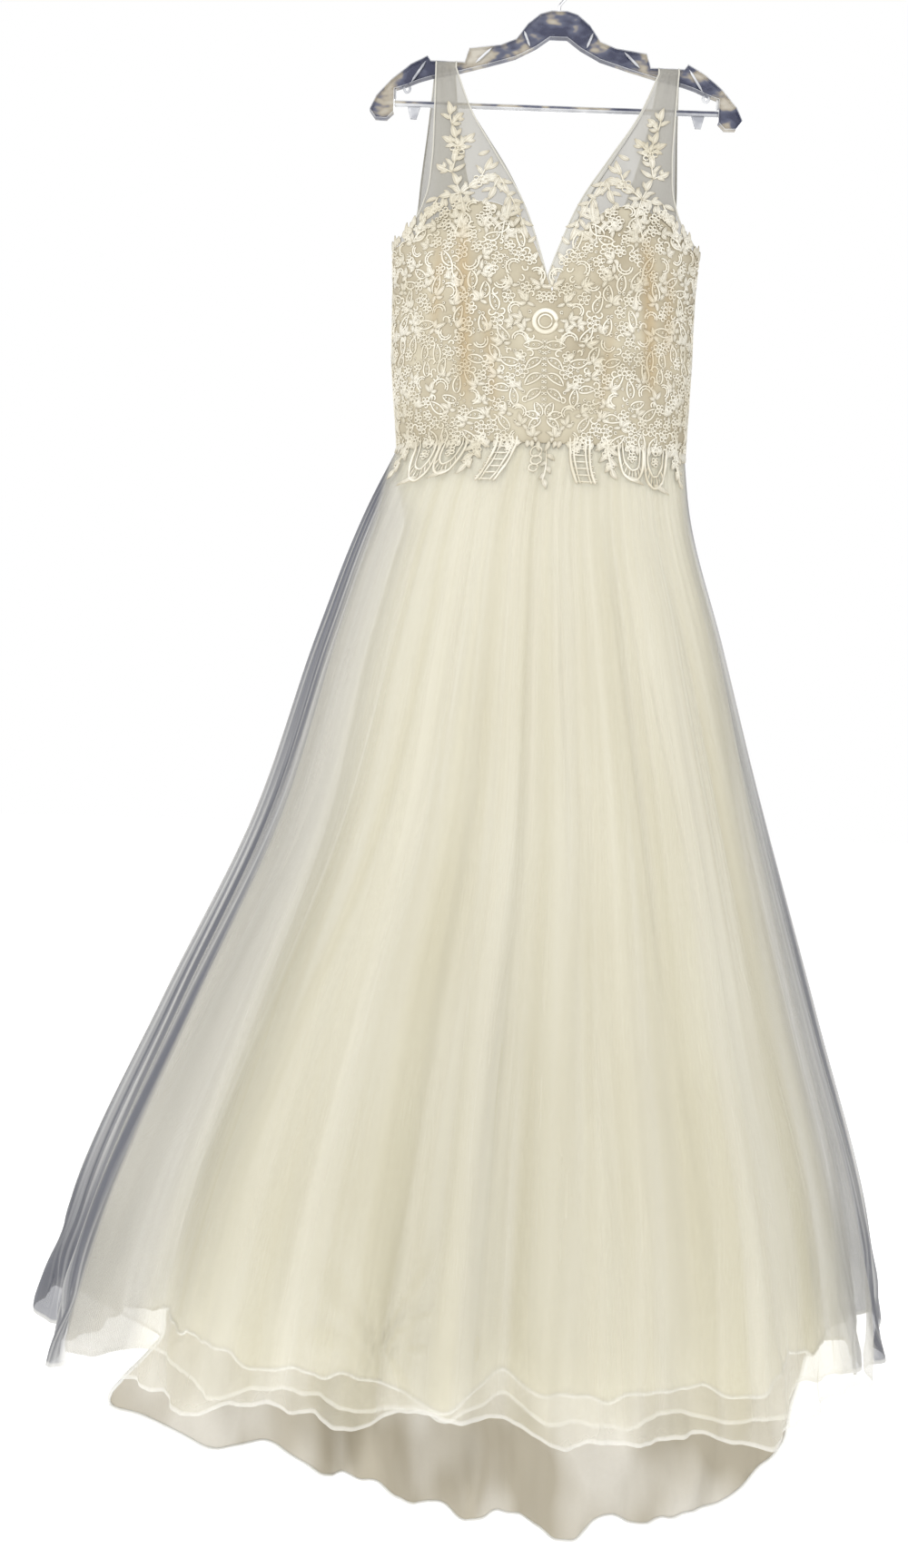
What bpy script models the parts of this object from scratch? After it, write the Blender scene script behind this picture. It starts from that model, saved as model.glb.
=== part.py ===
"""Wedding dress on a clear hanger: lace bodice, sheer shoulder yokes, three-layer skirt with a train.

Metres, +Z up, +X to the right of someone facing the dress, the front faces -Y.
The origin is the point inside the hook's bend that rests on a rail.
Every cloth piece is an open surface, worked out from the sizes below, with a Solidify wall.
"""

import math

import bmesh
import bpy
import numpy as np
from mathutils import Matrix, Vector, geometry

# Hanger, 432 mm (17 in) wide
HOOK_INNER_RADIUS = 0.019
HOOK_WIRE = 0.0038
NECK_TOP = -0.056
ARM_HALF_THICKNESS = 0.0055
ARM_REST = -0.1187          # floor of the notch that a strap lies in
RIB_WIDTH = 0.0028
RECESS_DEPTH = 0.0038
BAR_RADIUS = 0.0036
BAR_DROP = -0.168
LOBE_INSIDE = 0.188         # inner face of the lobe that the bar meets

# Heights of the dress, measured down from the hook
WAIST = -0.568
SIDE_TOP = -0.343           # top of the side seam
NECK_POINT = -0.402         # bottom of the front V
BACK_POINT = -0.452         # bottom of the back V
STRAP_INNER = 0.120         # strap edges where it crosses the hanger
STRAP_OUTER = 0.141

# Cloth
SEAM_GAP = 0.0003
SEAM_Y = 0.00025            # front and back edges stand this far either side of Y = 0
TULLE_WALL = 0.0011
BODICE_WALL = 0.0022
LACE_WALL = 0.0010
LACE_CLEARANCE = 0.0007     # lace stands this far off the cloth under it
PLAN_POWER = 2.4            # 2 is an ellipse, more is squarer at the sides
PANEL_WIDTH = 0.42          # girth of the front or back of the bodice

SKIRT_COLUMNS = 42
FRONT_ROWS = (0.0, 0.05, 0.16, 0.36, 0.6, 0.82, 1.0)
BACK_ROWS = (0.0, 0.05, 0.14, 0.3, 0.5, 0.7, 0.87, 1.0)
INNER_FRONT_ROWS = (0.0, 0.05, 0.16, 0.36, 0.66, 1.0)
INNER_BACK_ROWS = (0.0, 0.05, 0.14, 0.3, 0.53, 0.77, 1.0)
BODICE_COLUMNS = 22
YOKE_ROWS = (0.0, 0.04, 0.12, 0.26, 0.46, 0.71, 1.0)
ZIP_WIDTH = 0.026
ZIP_WALL = 0.0010
SLIDER_SIZE = (0.0060, 0.0024, 0.0100)

# height, half width, centre, front depth, back depth
BODY_SECTIONS = (
    (-0.1000, 0.1900, 0.000, 0.0060, 0.0060),
    (-0.1250, 0.1900, 0.000, 0.0075, 0.0075),
    (-0.1700, 0.1890, -0.001, 0.0210, 0.0190),
    (-0.2500, 0.1850, -0.003, 0.0480, 0.0380),
    (-0.3200, 0.1790, -0.006, 0.0680, 0.0500),
    (-0.3800, 0.1745, -0.007, 0.0760, 0.0560),
    (-0.4600, 0.1730, -0.007, 0.0690, 0.0570),
    (WAIST, 0.1665, -0.004, 0.0600, 0.0560),
)
# height, half width, centre, front depth, back depth of the outermost tulle
SKIRT_SECTIONS = (
    (WAIST, 0.1665, -0.004, 0.0600, 0.0560),
    (-0.6300, 0.1850, -0.015, 0.0760, 0.0700),
    (-0.7860, 0.2350, -0.021, 0.1150, 0.1020),
    (-0.9970, 0.2970, -0.025, 0.1730, 0.1500),
    (-1.2080, 0.3760, -0.042, 0.2280, 0.1980),
    (-1.4190, 0.4510, -0.055, 0.2780, 0.2380),
    (-1.5900, 0.4820, -0.061, 0.3050, 0.2620),
    (-1.7500, 0.4760, -0.052, 0.3200, 0.2800),
    (-1.9700, 0.4600, -0.040, 0.3300, 0.2900),
)
# share of the way across from the left side seam, height of the lining's hem at the back
TRAIN_HEM = (
    (0.00, -1.600),
    (0.05, -1.665),
    (0.10, -1.742),
    (0.16, -1.812),
    (0.23, -1.848),
    (0.35, -1.908),
    (0.50, -1.943),
    (0.62, -1.952),
    (0.76, -1.905),
    (0.87, -1.820),
    (0.94, -1.690),
    (1.00, -1.598),
)
# The train's left corner swings out and forward: share at its middle, half width as a share, the
# height where it starts, the height over which it grows, and how far it goes along -X and -Y
CORNER_SHARE = 0.085
CORNER_WIDTH = 0.075
CORNER_TOP = -1.585
CORNER_GROWTH = 0.13
CORNER_SWING = (0.105, 0.045)
# distance from the centre, height of the bodice's sweetheart top edge
SWEETHEART = (
    (0.000, NECK_POINT),
    (0.010, -0.377),
    (0.022, -0.350),
    (0.036, -0.326),
    (0.055, -0.308),
    (0.080, -0.300),
    (0.110, -0.306),
    (0.140, -0.322),
    (0.160, -0.335),
    (0.190, SIDE_TOP),
)
# distance from the centre, height of the opaque back's top edge
BACK_EDGE = (
    (0.000, BACK_POINT),
    (0.030, -0.436),
    (0.070, -0.410),
    (0.110, -0.384),
    (0.150, -0.360),
    (0.190, SIDE_TOP),
)
# height, half width of the V between the sheer yokes
FRONT_NECKLINE = (
    (ARM_REST, STRAP_INNER),
    (-0.190, 0.094),
    (-0.243, 0.066),
    (-0.302, 0.035),
    (-0.370, 0.010),
    (NECK_POINT, 0.0),
)
BACK_NECKLINE = (
    (ARM_REST, STRAP_INNER),
    (-0.200, 0.108),
    (-0.290, 0.082),
    (-0.370, 0.045),
    (BACK_POINT, 0.0),
)
# height, distance from the centre of the armhole edge; the back strap shows just outside the front one
FRONT_ARMHOLE = (
    (ARM_REST, STRAP_OUTER),
    (-0.190, 0.1375),
    (-0.245, 0.1360),
    (-0.290, 0.1400),
    (-0.318, 0.1510),
    (SIDE_TOP, 0.1755),
)
BACK_ARMHOLE = (
    (ARM_REST, STRAP_OUTER),
    (-0.190, 0.1450),
    (-0.245, 0.1485),
    (-0.290, 0.1520),
    (-0.318, 0.1600),
    (SIDE_TOP, 0.1755),
)
# How far each layer lies inside the outermost: at the waist, at each side and in depth a hand below
# it, and at the hem's left, right, front and back. hem is the hem's height at the side seams,
# hem_share how much of the front hem's rise it takes, back_reach how much of the train, and
# corner_rise how far its hem rises at the side seams.
SKIRT_LAYERS = (
    {
        "name": "tulle_outer", "waist": 0.0, "left_top": 0.0, "right_top": 0.0, "depth_top": 0.0,
        "left": 0.0, "right": 0.0, "front": 0.0, "back": 0.0,
        "hem": -1.594, "hem_share": 1.0, "back_reach": 0.84, "corner_rise": 0.038,
    },
    {
        "name": "tulle_under", "waist": 0.0016, "left_top": 0.016, "right_top": 0.002, "depth_top": 0.004,
        "left": 0.062, "right": 0.030, "front": 0.019, "back": 0.014,
        "hem": -1.584, "hem_share": 0.7, "back_reach": 0.76, "corner_rise": -0.018,
    },
    {
        "name": "lining", "waist": 0.0032, "left_top": 0.048, "right_top": 0.005, "depth_top": 0.009,
        "left": 0.132, "right": 0.060, "front": 0.045, "back": 0.030,
        "hem": -1.568, "hem_share": 0.4, "back_reach": 1.0, "corner_rise": 0.0,
    },
)
# share of the way across from the left side seam, rise of the front hem above its ends
FRONT_HEM_RISE = (
    (0.00, 0.000),
    (0.10, 0.014),
    (0.28, 0.006),
    (0.40, 0.008),
    (0.485, 0.030),
    (0.55, 0.004),
    (0.68, -0.012),
    (0.80, -0.008),
    (0.92, 0.010),
    (1.00, 0.000),
)

MATERIALS = {
    "lace": ((0.93, 0.90, 0.83), 0.75, 1.0),
    "satin": ((0.90, 0.87, 0.78), 0.45, 1.0),
    "tulle": ((0.86, 0.85, 0.80), 0.85, 0.55),
    "clear_plastic": ((0.82, 0.84, 0.86), 0.12, 0.45),
    "steel": ((0.72, 0.72, 0.73), 0.25, 1.0),
}


def clear_scene():
    for thing in list(bpy.data.objects):
        bpy.data.objects.remove(thing)


def make_material(name):
    colour, roughness, alpha = MATERIALS[name]
    made = bpy.data.materials.new(name)
    made.use_nodes = True
    shader = made.node_tree.nodes["Principled BSDF"]
    shader.inputs["Base Color"].default_value = (*colour, 1.0)
    shader.inputs["Roughness"].default_value = roughness
    shader.inputs["Metallic"].default_value = 1.0 if name == "steel" else 0.0
    shader.inputs["Alpha"].default_value = alpha
    return made


def through(table, where, column=1):
    """A smooth curve through a table's rows: column as a function of the table's first column."""
    rows = np.array(sorted(table), float)
    knots, values = rows[:, 0], rows[:, column]
    slopes = np.gradient(values, knots)
    place = np.clip(np.asarray(where, float), knots[0], knots[-1])
    i = np.clip(np.searchsorted(knots, place) - 1, 0, len(knots) - 2)
    step = knots[i + 1] - knots[i]
    t = (place - knots[i]) / step
    return (
        (2 * t**3 - 3 * t**2 + 1) * values[i]
        + (t**3 - 2 * t**2 + t) * step * slopes[i]
        + (3 * t**2 - 2 * t**3) * values[i + 1]
        + (t**3 - t**2) * step * slopes[i + 1]
    )


def plan_depth(cosine):
    """Depth of the plan outline, from 0 at a side seam to 1 at the middle."""
    return np.sqrt(np.clip(1 - np.abs(cosine) ** PLAN_POWER, 0, 1))


def even_angles():
    """Angles round half of the plan outline that share its length evenly."""
    angle = np.linspace(0, math.pi, 721)
    x, y = -np.cos(angle), 0.6 * plan_depth(np.cos(angle))
    run = np.concatenate([[0], np.cumsum(np.hypot(np.diff(x), np.diff(y)))])
    return run / run[-1], angle


SHARES, ANGLES = even_angles()


def angle_at(share):
    return np.interp(share, SHARES, ANGLES)


def smooth_step(t):
    t = np.clip(t, 0, 1)
    return t * t * (3 - 2 * t)


def bust(x, z):
    """How far the cups stand out in front of the plain section."""
    across = (np.abs(x + 0.004) - 0.083) / 0.052
    down = (z + 0.352) / 0.058
    return 0.017 * np.exp(-(across**2) - down**2)


def body_point(side, share, height):
    """A point of the bodice or yoke's outer surface. side is -1 at the front and 1 at the back."""
    share, height = np.broadcast_arrays(np.asarray(share, float), np.asarray(height, float))
    cosine = np.cos(angle_at(share))
    half = through(BODY_SECTIONS, height, 1)
    x = through(BODY_SECTIONS, height, 2) - half * cosine
    depth = through(BODY_SECTIONS, height, 3 if side < 0 else 4) * plan_depth(cosine)
    if side < 0:
        depth = depth + bust(x, height) * smooth_step(plan_depth(cosine) * 1.6)
    return np.stack([x, side * (depth + SEAM_Y), height], -1)


def share_at(sections, x, height):
    """The share of the way across at which these sections have this x."""
    half = through(sections, height, 1)
    cosine = np.clip((through(sections, height, 2) - x) / half, -1, 1)
    return np.interp(np.arccos(cosine), ANGLES, SHARES)


def folds(side, share, drop):
    """The folds that all skirt layers share, growing from the gathers at the waist to the hem."""
    wander = 0.34 * np.sin(2 * math.pi * (1.7 * share + (0.1 if side < 0 else 0.35)))
    wave = np.sin(2 * math.pi * (10 * share + wander))
    strength = 0.72 + 0.28 * np.sin(2 * math.pi * (3.1 * share + 0.2 * side))
    depth = (0.0014 * smooth_step(drop / 0.09) + 0.0135 * drop**1.3) * wave * strength
    if side < 0:
        middle = np.exp(-(((share - 0.485) / 0.037) ** 2))
        left = np.exp(-(((share - 0.17) / 0.030) ** 2))
        depth = depth - (0.060 * middle + 0.030 * left) * smooth_step((drop - 0.35) / 0.65)
    return depth


def own_folds(layer, side, share, drop):
    """Folds of one layer alone, shallow enough to stay inside the room between layers."""
    number = [one["name"] for one in SKIRT_LAYERS].index(layer["name"])
    turn = 2 * math.pi * ((7 + 2 * number) * share + 0.31 * number + 0.13 * side)
    return 0.0045 * smooth_step((drop - 0.12) / 0.6) * np.sin(turn)


def hem_height(layer, side, share):
    still_at_seams = smooth_step(np.minimum(share, 1 - share) / 0.06)
    ripple = 0.006 * np.sin(2 * math.pi * (6 * share + 0.2)) * still_at_seams
    corners = layer["corner_rise"] * np.exp(-((np.minimum(share, 1 - share) / 0.09) ** 2))
    if side < 0:
        return layer["hem"] + layer["hem_share"] * through(FRONT_HEM_RISE, share) + corners + ripple
    train = through(TRAIN_HEM, share) - TRAIN_HEM[0][1]
    if layer["back_reach"] < 1:
        train = train * layer["back_reach"] * smooth_step((share - 0.04) / 0.30)
        train = train * smooth_step((0.97 - share) / 0.28)
    return layer["hem"] + train + corners + ripple


def layer_outline(layer, side, z):
    """Left edge, right edge and depth of a layer's plan at this height."""
    fallen = WAIST - SEAM_GAP - z
    early, late = smooth_step(fallen / 0.10), smooth_step(fallen / 0.95)
    half, centre = through(SKIRT_SECTIONS, z, 1), through(SKIRT_SECTIONS, z, 2)
    left = layer["waist"] + layer["left_top"] * early + (layer["left"] - layer["left_top"]) * late
    right = layer["waist"] + layer["right_top"] * early + (layer["right"] - layer["right_top"]) * late
    depth_hem = layer["front" if side < 0 else "back"]
    inset = layer["waist"] + layer["depth_top"] * early + (depth_hem - layer["depth_top"]) * late
    return centre - half + left, centre + half - right, through(SKIRT_SECTIONS, z, 3 if side < 0 else 4) - inset


def skirt_point(layer, side, share, drop):
    """A point of one skirt layer's outer surface. drop runs from 0 at the waist to 1 at the hem."""
    share, drop = np.broadcast_arrays(np.asarray(share, float), np.asarray(drop, float))
    top = WAIST - SEAM_GAP
    z = top + (hem_height(layer, side, share) - top) * drop
    left, right, depth = layer_outline(layer, side, z)

    def outline(at):
        cosine = np.cos(angle_at(at))
        x = (left + right) / 2 - (right - left) / 2 * cosine
        return x, side * (depth * plan_depth(cosine) + SEAM_Y)

    near, far = np.clip(share - 0.004, 0, 1), np.clip(share + 0.004, 0, 1)
    (x0, y0), (x1, y1), (x, y) = outline(near), outline(far), outline(share)
    along_x, along_y = x1 - x0, y1 - y0
    length = np.hypot(along_x, along_y)
    # The folds are read where the outermost layer has this x, so that all the layers' folds line up
    outermost = share if layer is SKIRT_LAYERS[0] else share_at(SKIRT_SECTIONS, x, z)
    push = folds(side, outermost, drop) + own_folds(layer, side, outermost, drop)
    push = push * smooth_step(np.minimum(share, 1 - share) / 0.05) * -side
    x, y = x - along_y / length * push, y + along_x / length * push
    if side > 0 and layer["back_reach"] == 1:
        lobe = np.exp(-(((share - CORNER_SHARE) / CORNER_WIDTH) ** 2)) * smooth_step(share / 0.04)
        swing = lobe * smooth_step((CORNER_TOP - z) / CORNER_GROWTH)
        x, y = x - CORNER_SWING[0] * swing, y - CORNER_SWING[1] * swing
    return np.stack([x, y, z], -1)


def outer_point(side, share, height):
    """The dress's outermost cloth at this height: the bodice, or the top tulle below the waist."""
    share, height = np.broadcast_arrays(np.asarray(share, float), np.asarray(height, float))
    body = body_point(side, share, height)
    layer = SKIRT_LAYERS[0]
    drop = (height - WAIST) / (hem_height(layer, side, share) - WAIST)
    skirt = skirt_point(layer, side, share, np.clip(drop, 0, 1))
    return np.where((height >= WAIST)[..., None], body, skirt)


def lace_point(side, share, height, clearance):
    """A point this far outside the outermost cloth, along its own direction."""
    h = 0.004
    across = outer_point(side, share + h, height) - outer_point(side, share - h, height)
    down = outer_point(side, share, height - h) - outer_point(side, share, height + h)
    outward = np.cross(down, across) if side < 0 else np.cross(across, down)
    outward = outward / np.linalg.norm(outward, axis=-1, keepdims=True)
    return outer_point(side, share, height) + outward * clearance


def new_object(name, data, material, collection):
    made = bpy.data.objects.new(name, data)
    data.materials.append(material)
    collection.objects.link(made)
    return made


def spread(across, columns, ends=(True, True)):
    """Moves the second and the last-but-one column close to a side seam, where the outline turns square."""
    near = 0.2 / columns
    places = np.linspace(0, 1, columns + 1)
    inner = np.linspace(near if ends[0] else 0, 1 - near if ends[1] else 1, columns + 1 - sum(ends))
    shares = np.concatenate([[0] * ends[0], inner, [1] * ends[1]])
    return np.interp(across, places, shares)


def sheet(name, columns, rows, place, wall, material, collection):
    """A grid whose points place(across, along) puts on a surface, with a wall inwards."""
    mesh = bpy.data.meshes.new(name)
    bm = bmesh.new()
    bmesh.ops.create_grid(bm, x_segments=columns, y_segments=len(rows) - 1, size=0.5)
    points = list(bm.verts)
    across = np.array([p.co.x + 0.5 for p in points])
    along = np.array([p.co.y + 0.5 for p in points])
    row = np.round(along * (len(rows) - 1)).astype(int)
    spots = place(across, np.array(rows, float)[row])
    for point, spot in zip(points, spots):
        point.co = spot
    bm.normal_update()
    outward = sum((f.normal.dot(outward_hint(f)) for f in bm.faces), 0.0)
    if outward < 0:
        bmesh.ops.reverse_faces(bm, faces=bm.faces)
    bm.to_mesh(mesh)
    bm.free()
    mesh.shade_smooth()
    made = new_object(name, mesh, material, collection)
    give_wall(made, wall, -1)
    return made


def outward_hint(face):
    """Which way is out at a face of the dress: away from its upright middle."""
    middle = face.calc_center_median()
    return Vector((middle.x * 0.2, middle.y, 0.0))


def give_wall(made, wall, offset):
    solid = made.modifiers.new("wall", "SOLIDIFY")
    solid.thickness = wall
    solid.offset = offset
    solid.use_even_offset = False
    solid.use_rim = True


def make_bodice_front(materials, collection):
    rows = np.linspace(0, 1, 12)

    def place(across, down):
        share = spread(across, BODICE_COLUMNS)
        x = body_point(-1, share, np.full_like(share, -0.33))[:, 0]
        top = through(SWEETHEART, np.abs(x))
        return body_point(-1, share, top + (WAIST - top) * down)

    return sheet("bodice_front", BODICE_COLUMNS, rows, place, BODICE_WALL, materials["satin"], collection)


def make_bodice_back(name, half, materials, collection):
    """half is -1 for the wearer's side at -X and 1 for the other; the two meet at the centre back."""
    rows = np.linspace(0, 1, 9)

    def place(across, down):
        share = half_share(1, half, across)
        x = body_point(1, share, np.full_like(share, -0.36))[:, 0]
        top = through(BACK_EDGE, np.abs(x))
        return body_point(1, share, top + (WAIST - top) * down)

    columns = BODICE_COLUMNS // 2
    return sheet(name, columns, rows, place, BODICE_WALL, materials["satin"], collection)


def half_share(side, half, across):
    """Shares across one half of a side, from its side seam to the centre."""
    girth = 0.5 if side < 0 else 0.5 - 0.6 * SEAM_GAP / PANEL_WIDTH
    share = spread(across, BODICE_COLUMNS // 2, (True, False)) * girth
    return share if half < 0 else 1 - share


def seam_rise(edge, distance):
    """Height above a sloping edge that leaves the seam's gap square to it."""
    step = 0.004
    slope = (through(edge, distance + step) - through(edge, distance - step)) / (2 * step)
    near_side = smooth_step((distance - 0.135) / 0.025)
    return SEAM_GAP * (1.3 + 2.2 * near_side) * np.hypot(1, slope)


def make_yoke(name, side, half, materials, collection):
    """Sheer cloth from the bodice's top edge to the hanger's arm, between the armhole and the neckline."""
    edge, neckline = (SWEETHEART, FRONT_NECKLINE) if side < 0 else (BACK_EDGE, BACK_NECKLINE)
    armhole = FRONT_ARMHOLE if side < 0 else BACK_ARMHOLE
    level = -0.33 if side < 0 else -0.36
    rest = ARM_REST - 0.0075
    reach = ARM_HALF_THICKNESS + SEAM_GAP + TULLE_WALL + 0.0001
    top = ARM_REST + SEAM_GAP + TULLE_WALL + 0.0001
    # Distance from the middle and height of the rows that go over the arm, to the shoulder seam
    over_arm = ((reach, ARM_REST + 0.0002), (reach - 0.0009, top), (SEAM_Y, top))
    rows = list(YOKE_ROWS) + [1 + (i + 1) / len(over_arm) for i in range(len(over_arm))]

    def place(across, up):
        share = half_share(side, half, across)
        rise = np.clip(up, 0, 1)
        climb = rise**0.85

        def height(foot):
            return foot + (rest - foot) * climb

        foot_x = body_point(side, share, np.full_like(share, level))[:, 0]
        foot_z = through(edge, np.abs(foot_x)) + seam_rise(edge, np.abs(foot_x))
        foot_x = body_point(side, share, foot_z)[:, 0]
        z = height(foot_z)
        # The side edges follow the armhole and the neckline, and what lies between them follows both
        straight_armhole = armhole[-1][1] + (STRAP_OUTER - armhole[-1][1]) * rise
        armhole_bow = through(armhole, height(SIDE_TOP)) - straight_armhole
        neckline_bow = through(neckline, height(neckline[-1][0])) - STRAP_INNER * rise
        top_x = half * (STRAP_OUTER + (STRAP_INNER - STRAP_OUTER) * across)
        x = foot_x + (top_x - foot_x) * rise + half * (armhole_bow * (1 - across) + neckline_bow * across)
        spots = body_point(side, share_at(BODY_SECTIONS, x, z), z)
        spots[:, 0] = x
        turn = (up - 1) * len(over_arm)
        steps = np.arange(len(over_arm) + 1)
        above = up > 1
        spots[above, 1] = side * np.interp(turn[above], steps, [reach] + [row[0] for row in over_arm])
        spots[above, 2] = np.interp(turn[above], steps, [rest] + [row[1] for row in over_arm])
        return spots

    return sheet(name, BODICE_COLUMNS // 2, rows, place, TULLE_WALL, materials["tulle"], collection)


def make_skirt(materials, collection):
    for layer in SKIRT_LAYERS:
        cloth = materials["satin" if layer["name"] == "lining" else "tulle"]
        outermost = layer["name"] == "tulle_outer"
        front_rows = FRONT_ROWS if outermost else INNER_FRONT_ROWS
        back_rows = BACK_ROWS if outermost else INNER_BACK_ROWS
        for side, word, rows in ((-1, "front", front_rows), (1, "back", back_rows)):

            def place(across, down):
                return skirt_point(layer, side, spread(across, SKIRT_COLUMNS), down)

            sheet(f"{layer['name']}_{word}", SKIRT_COLUMNS, rows, place, TULLE_WALL, cloth, collection)


def leaf(start, end, width, lean=0.0):
    """A pointed leaf from start to end, as six points; lean bows it sideways."""
    start, end = np.array(start, float), np.array(end, float)
    along = end - start
    # The tips reach past both ends, so that leaves joined there overlap
    overlap = along / np.linalg.norm(along) * LEAF_OVERLAP
    start, end = start - overlap, end + overlap
    along = end - start
    aside = np.array([-along[1], along[0]])
    aside = aside / np.linalg.norm(aside)
    bow = aside * lean
    return [
        start,
        start + along * 0.30 + bow * 0.7 - aside * width * 0.46,
        start + along * 0.68 + bow - aside * width * 0.40,
        end,
        start + along * 0.68 + bow + aside * width * 0.40,
        start + along * 0.30 + bow * 0.7 + aside * width * 0.46,
    ]


def flower(middle, radius, turn):
    """Five blunt petals, as ten points."""
    points = []
    for i in range(10):
        reach = radius if i % 2 == 0 else radius * 0.62
        angle = turn + math.pi * i / 5
        points.append((middle[0] + reach * math.cos(angle), middle[1] + reach * math.sin(angle)))
    return points


def pendant(top, length, width, curl):
    """A curled drop of lace that hangs over the waist seam, as eight points."""
    x, z = top
    return [
        (x - width * 0.42, z),
        (x - width * 0.55 + curl * 0.1, z - length * 0.35),
        (x - width * 0.45 + curl * 0.45, z - length * 0.7),
        (x - width * 0.15 + curl, z - length),
        (x + width * 0.30 + curl, z - length * 0.88),
        (x + width * 0.38 + curl * 0.5, z - length * 0.62),
        (x + width * 0.55 + curl * 0.1, z - length * 0.3),
        (x + width * 0.46, z),
    ]


LACE_ROWS = (-0.349, -0.400, -0.451, -0.502, -0.553)
LACE_PITCH = 0.058
FLOWER_RADIUS = 0.0160
LEAF_WIDTH = 0.0135
LEAF_BOW = 0.007
LEAF_OVERLAP = 0.0035
SIDE_LEAF = 0.027
# distance from the centre, length, width, sideways curl of each drop of lace below the waist
DROPS = (
    (0.000, 0.052, 0.015, 0.004),
    (0.040, 0.062, 0.019, 0.016),
    (0.086, 0.050, 0.021, 0.010),
    (0.128, 0.060, 0.022, -0.012),
    (0.170, 0.056, 0.020, 0.010),
)
# The spray on a front yoke: start and end of each leaf, as distance from the centre and height.
# Distances are along the cloth, which runs back towards the side, so they are drawn in by the spread.
SPRAY_SPREAD = 0.885
YOKE_LEAVES = (
    (0.112, -0.345, 0.099, -0.312),
    (0.056, -0.350, 0.047, -0.292),
    (0.165, -0.340, 0.148, -0.316),
    (0.104, -0.290, 0.099, -0.318),
    (0.104, -0.290, 0.116, -0.262),
    (0.116, -0.262, 0.109, -0.230),
    (0.109, -0.230, 0.118, -0.200),
    (0.118, -0.200, 0.124, -0.170),
    (0.118, -0.200, 0.104, -0.186),
    (0.109, -0.230, 0.090, -0.212),
    (0.109, -0.230, 0.130, -0.216),
    (0.116, -0.262, 0.136, -0.250),
    (0.104, -0.290, 0.082, -0.272),
    (0.082, -0.272, 0.070, -0.242),
    (0.082, -0.272, 0.060, -0.268),
    (0.104, -0.290, 0.132, -0.292),
    (0.060, -0.268, 0.047, -0.292),
    (0.060, -0.268, 0.073, -0.300),
    (0.047, -0.292, 0.034, -0.318),
    (0.034, -0.318, 0.024, -0.345),
    (0.132, -0.292, 0.148, -0.318),
)


def vine(inner, outer, top_edge):
    """Flowers on staggered rows, a little out of line, and the pairs of neighbours that a leaf joins."""
    nodes = {}
    for j, z in enumerate(LACE_ROWS):
        for i in range(j % 2, 9, 2):
            x = i * LACE_PITCH / 2 + (0.005 * math.sin(3.1 * i + 1.7 * j) if i else 0.0)
            if inner <= x <= outer and z < top_edge(x) - 0.006:
                nodes[(i, j)] = (x, z + 0.006 * math.sin(2.3 * i + 4.1 * j))
    pairs = []
    for (i, j), spot in nodes.items():
        pairs += [(spot, nodes[(i + d, j + 1)], d) for d in (-1, 1) if (i + d, j + 1) in nodes]
    return nodes, pairs


def vine_outlines(nodes, pairs):
    outlines = [flower(spot, FLOWER_RADIUS, 0.3 + 0.9 * sum(key)) for key, spot in nodes.items()]
    outlines += [leaf(a, b, LEAF_WIDTH, way * LEAF_BOW) for a, b, way in pairs]
    for (i, j), (x, z) in nodes.items():
        aside = SIDE_LEAF * math.cos(0.5 * j) if i else 0.0
        outlines.append(leaf((x, z), (x + aside, z + SIDE_LEAF * 0.8), LEAF_WIDTH * 0.8))
    return outlines


def flat_union(outlines):
    """One flat mesh of everything inside any outline, as a bmesh in the XY plane."""
    points, faces = [], []
    for outline in outlines:
        faces.append(list(range(len(points), len(points) + len(outline))))
        points += [Vector((float(p[0]), float(p[1]))) for p in outline]
    spots, _, found, _, _, inside = geometry.delaunay_2d_cdt(points, [], faces, 0, 1e-5, True)
    bm = bmesh.new()
    corners = [bm.verts.new((p.x, p.y, 0.0)) for p in spots]
    for face, sources in zip(found, inside):
        if sources:
            bm.faces.new([corners[i] for i in face])
    bmesh.ops.delete(bm, geom=[v for v in bm.verts if not v.link_faces], context="VERTS")
    return bm


def part_pinches(bm):
    """Where two patches of the flat mesh meet at one point only, gives each its own point, moved in."""
    for vert in list(bm.verts):
        rim = [edge for edge in vert.link_edges if edge.is_boundary]
        if len(rim) > 2:
            for corner in bmesh.utils.vert_separate(vert, rim):
                middle = sum((f.calc_center_median() for f in corner.link_faces), Vector())
                corner.co = corner.co.lerp(middle / len(corner.link_faces), 0.25)


def keep_largest(bm):
    """Deletes every island but the one with the most faces."""
    bm.faces.ensure_lookup_table()
    island = [-1] * len(bm.faces)
    bm.faces.index_update()
    count = 0
    for seed in bm.faces:
        if island[seed.index] >= 0:
            continue
        stack = [seed]
        island[seed.index] = count
        while stack:
            for edge in stack.pop().edges:
                for other in edge.link_faces:
                    if island[other.index] < 0:
                        island[other.index] = count
                        stack.append(other)
        count += 1
    sizes = [island.count(k) for k in range(count)]
    best = sizes.index(max(sizes))
    stray = [f for f in bm.faces if island[f.index] != best]
    bmesh.ops.delete(bm, geom=stray, context="FACES")


def thin_out(bm):
    """Merges the flat triangles and the closest points, then cuts the rest again from edge to edge."""
    bmesh.ops.dissolve_limit(bm, angle_limit=0.01, verts=bm.verts, edges=bm.edges)
    bmesh.ops.remove_doubles(bm, verts=bm.verts, dist=0.0007)
    bmesh.ops.triangulate(bm, faces=bm.faces, quad_method="BEAUTY", ngon_method="BEAUTY")


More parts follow.
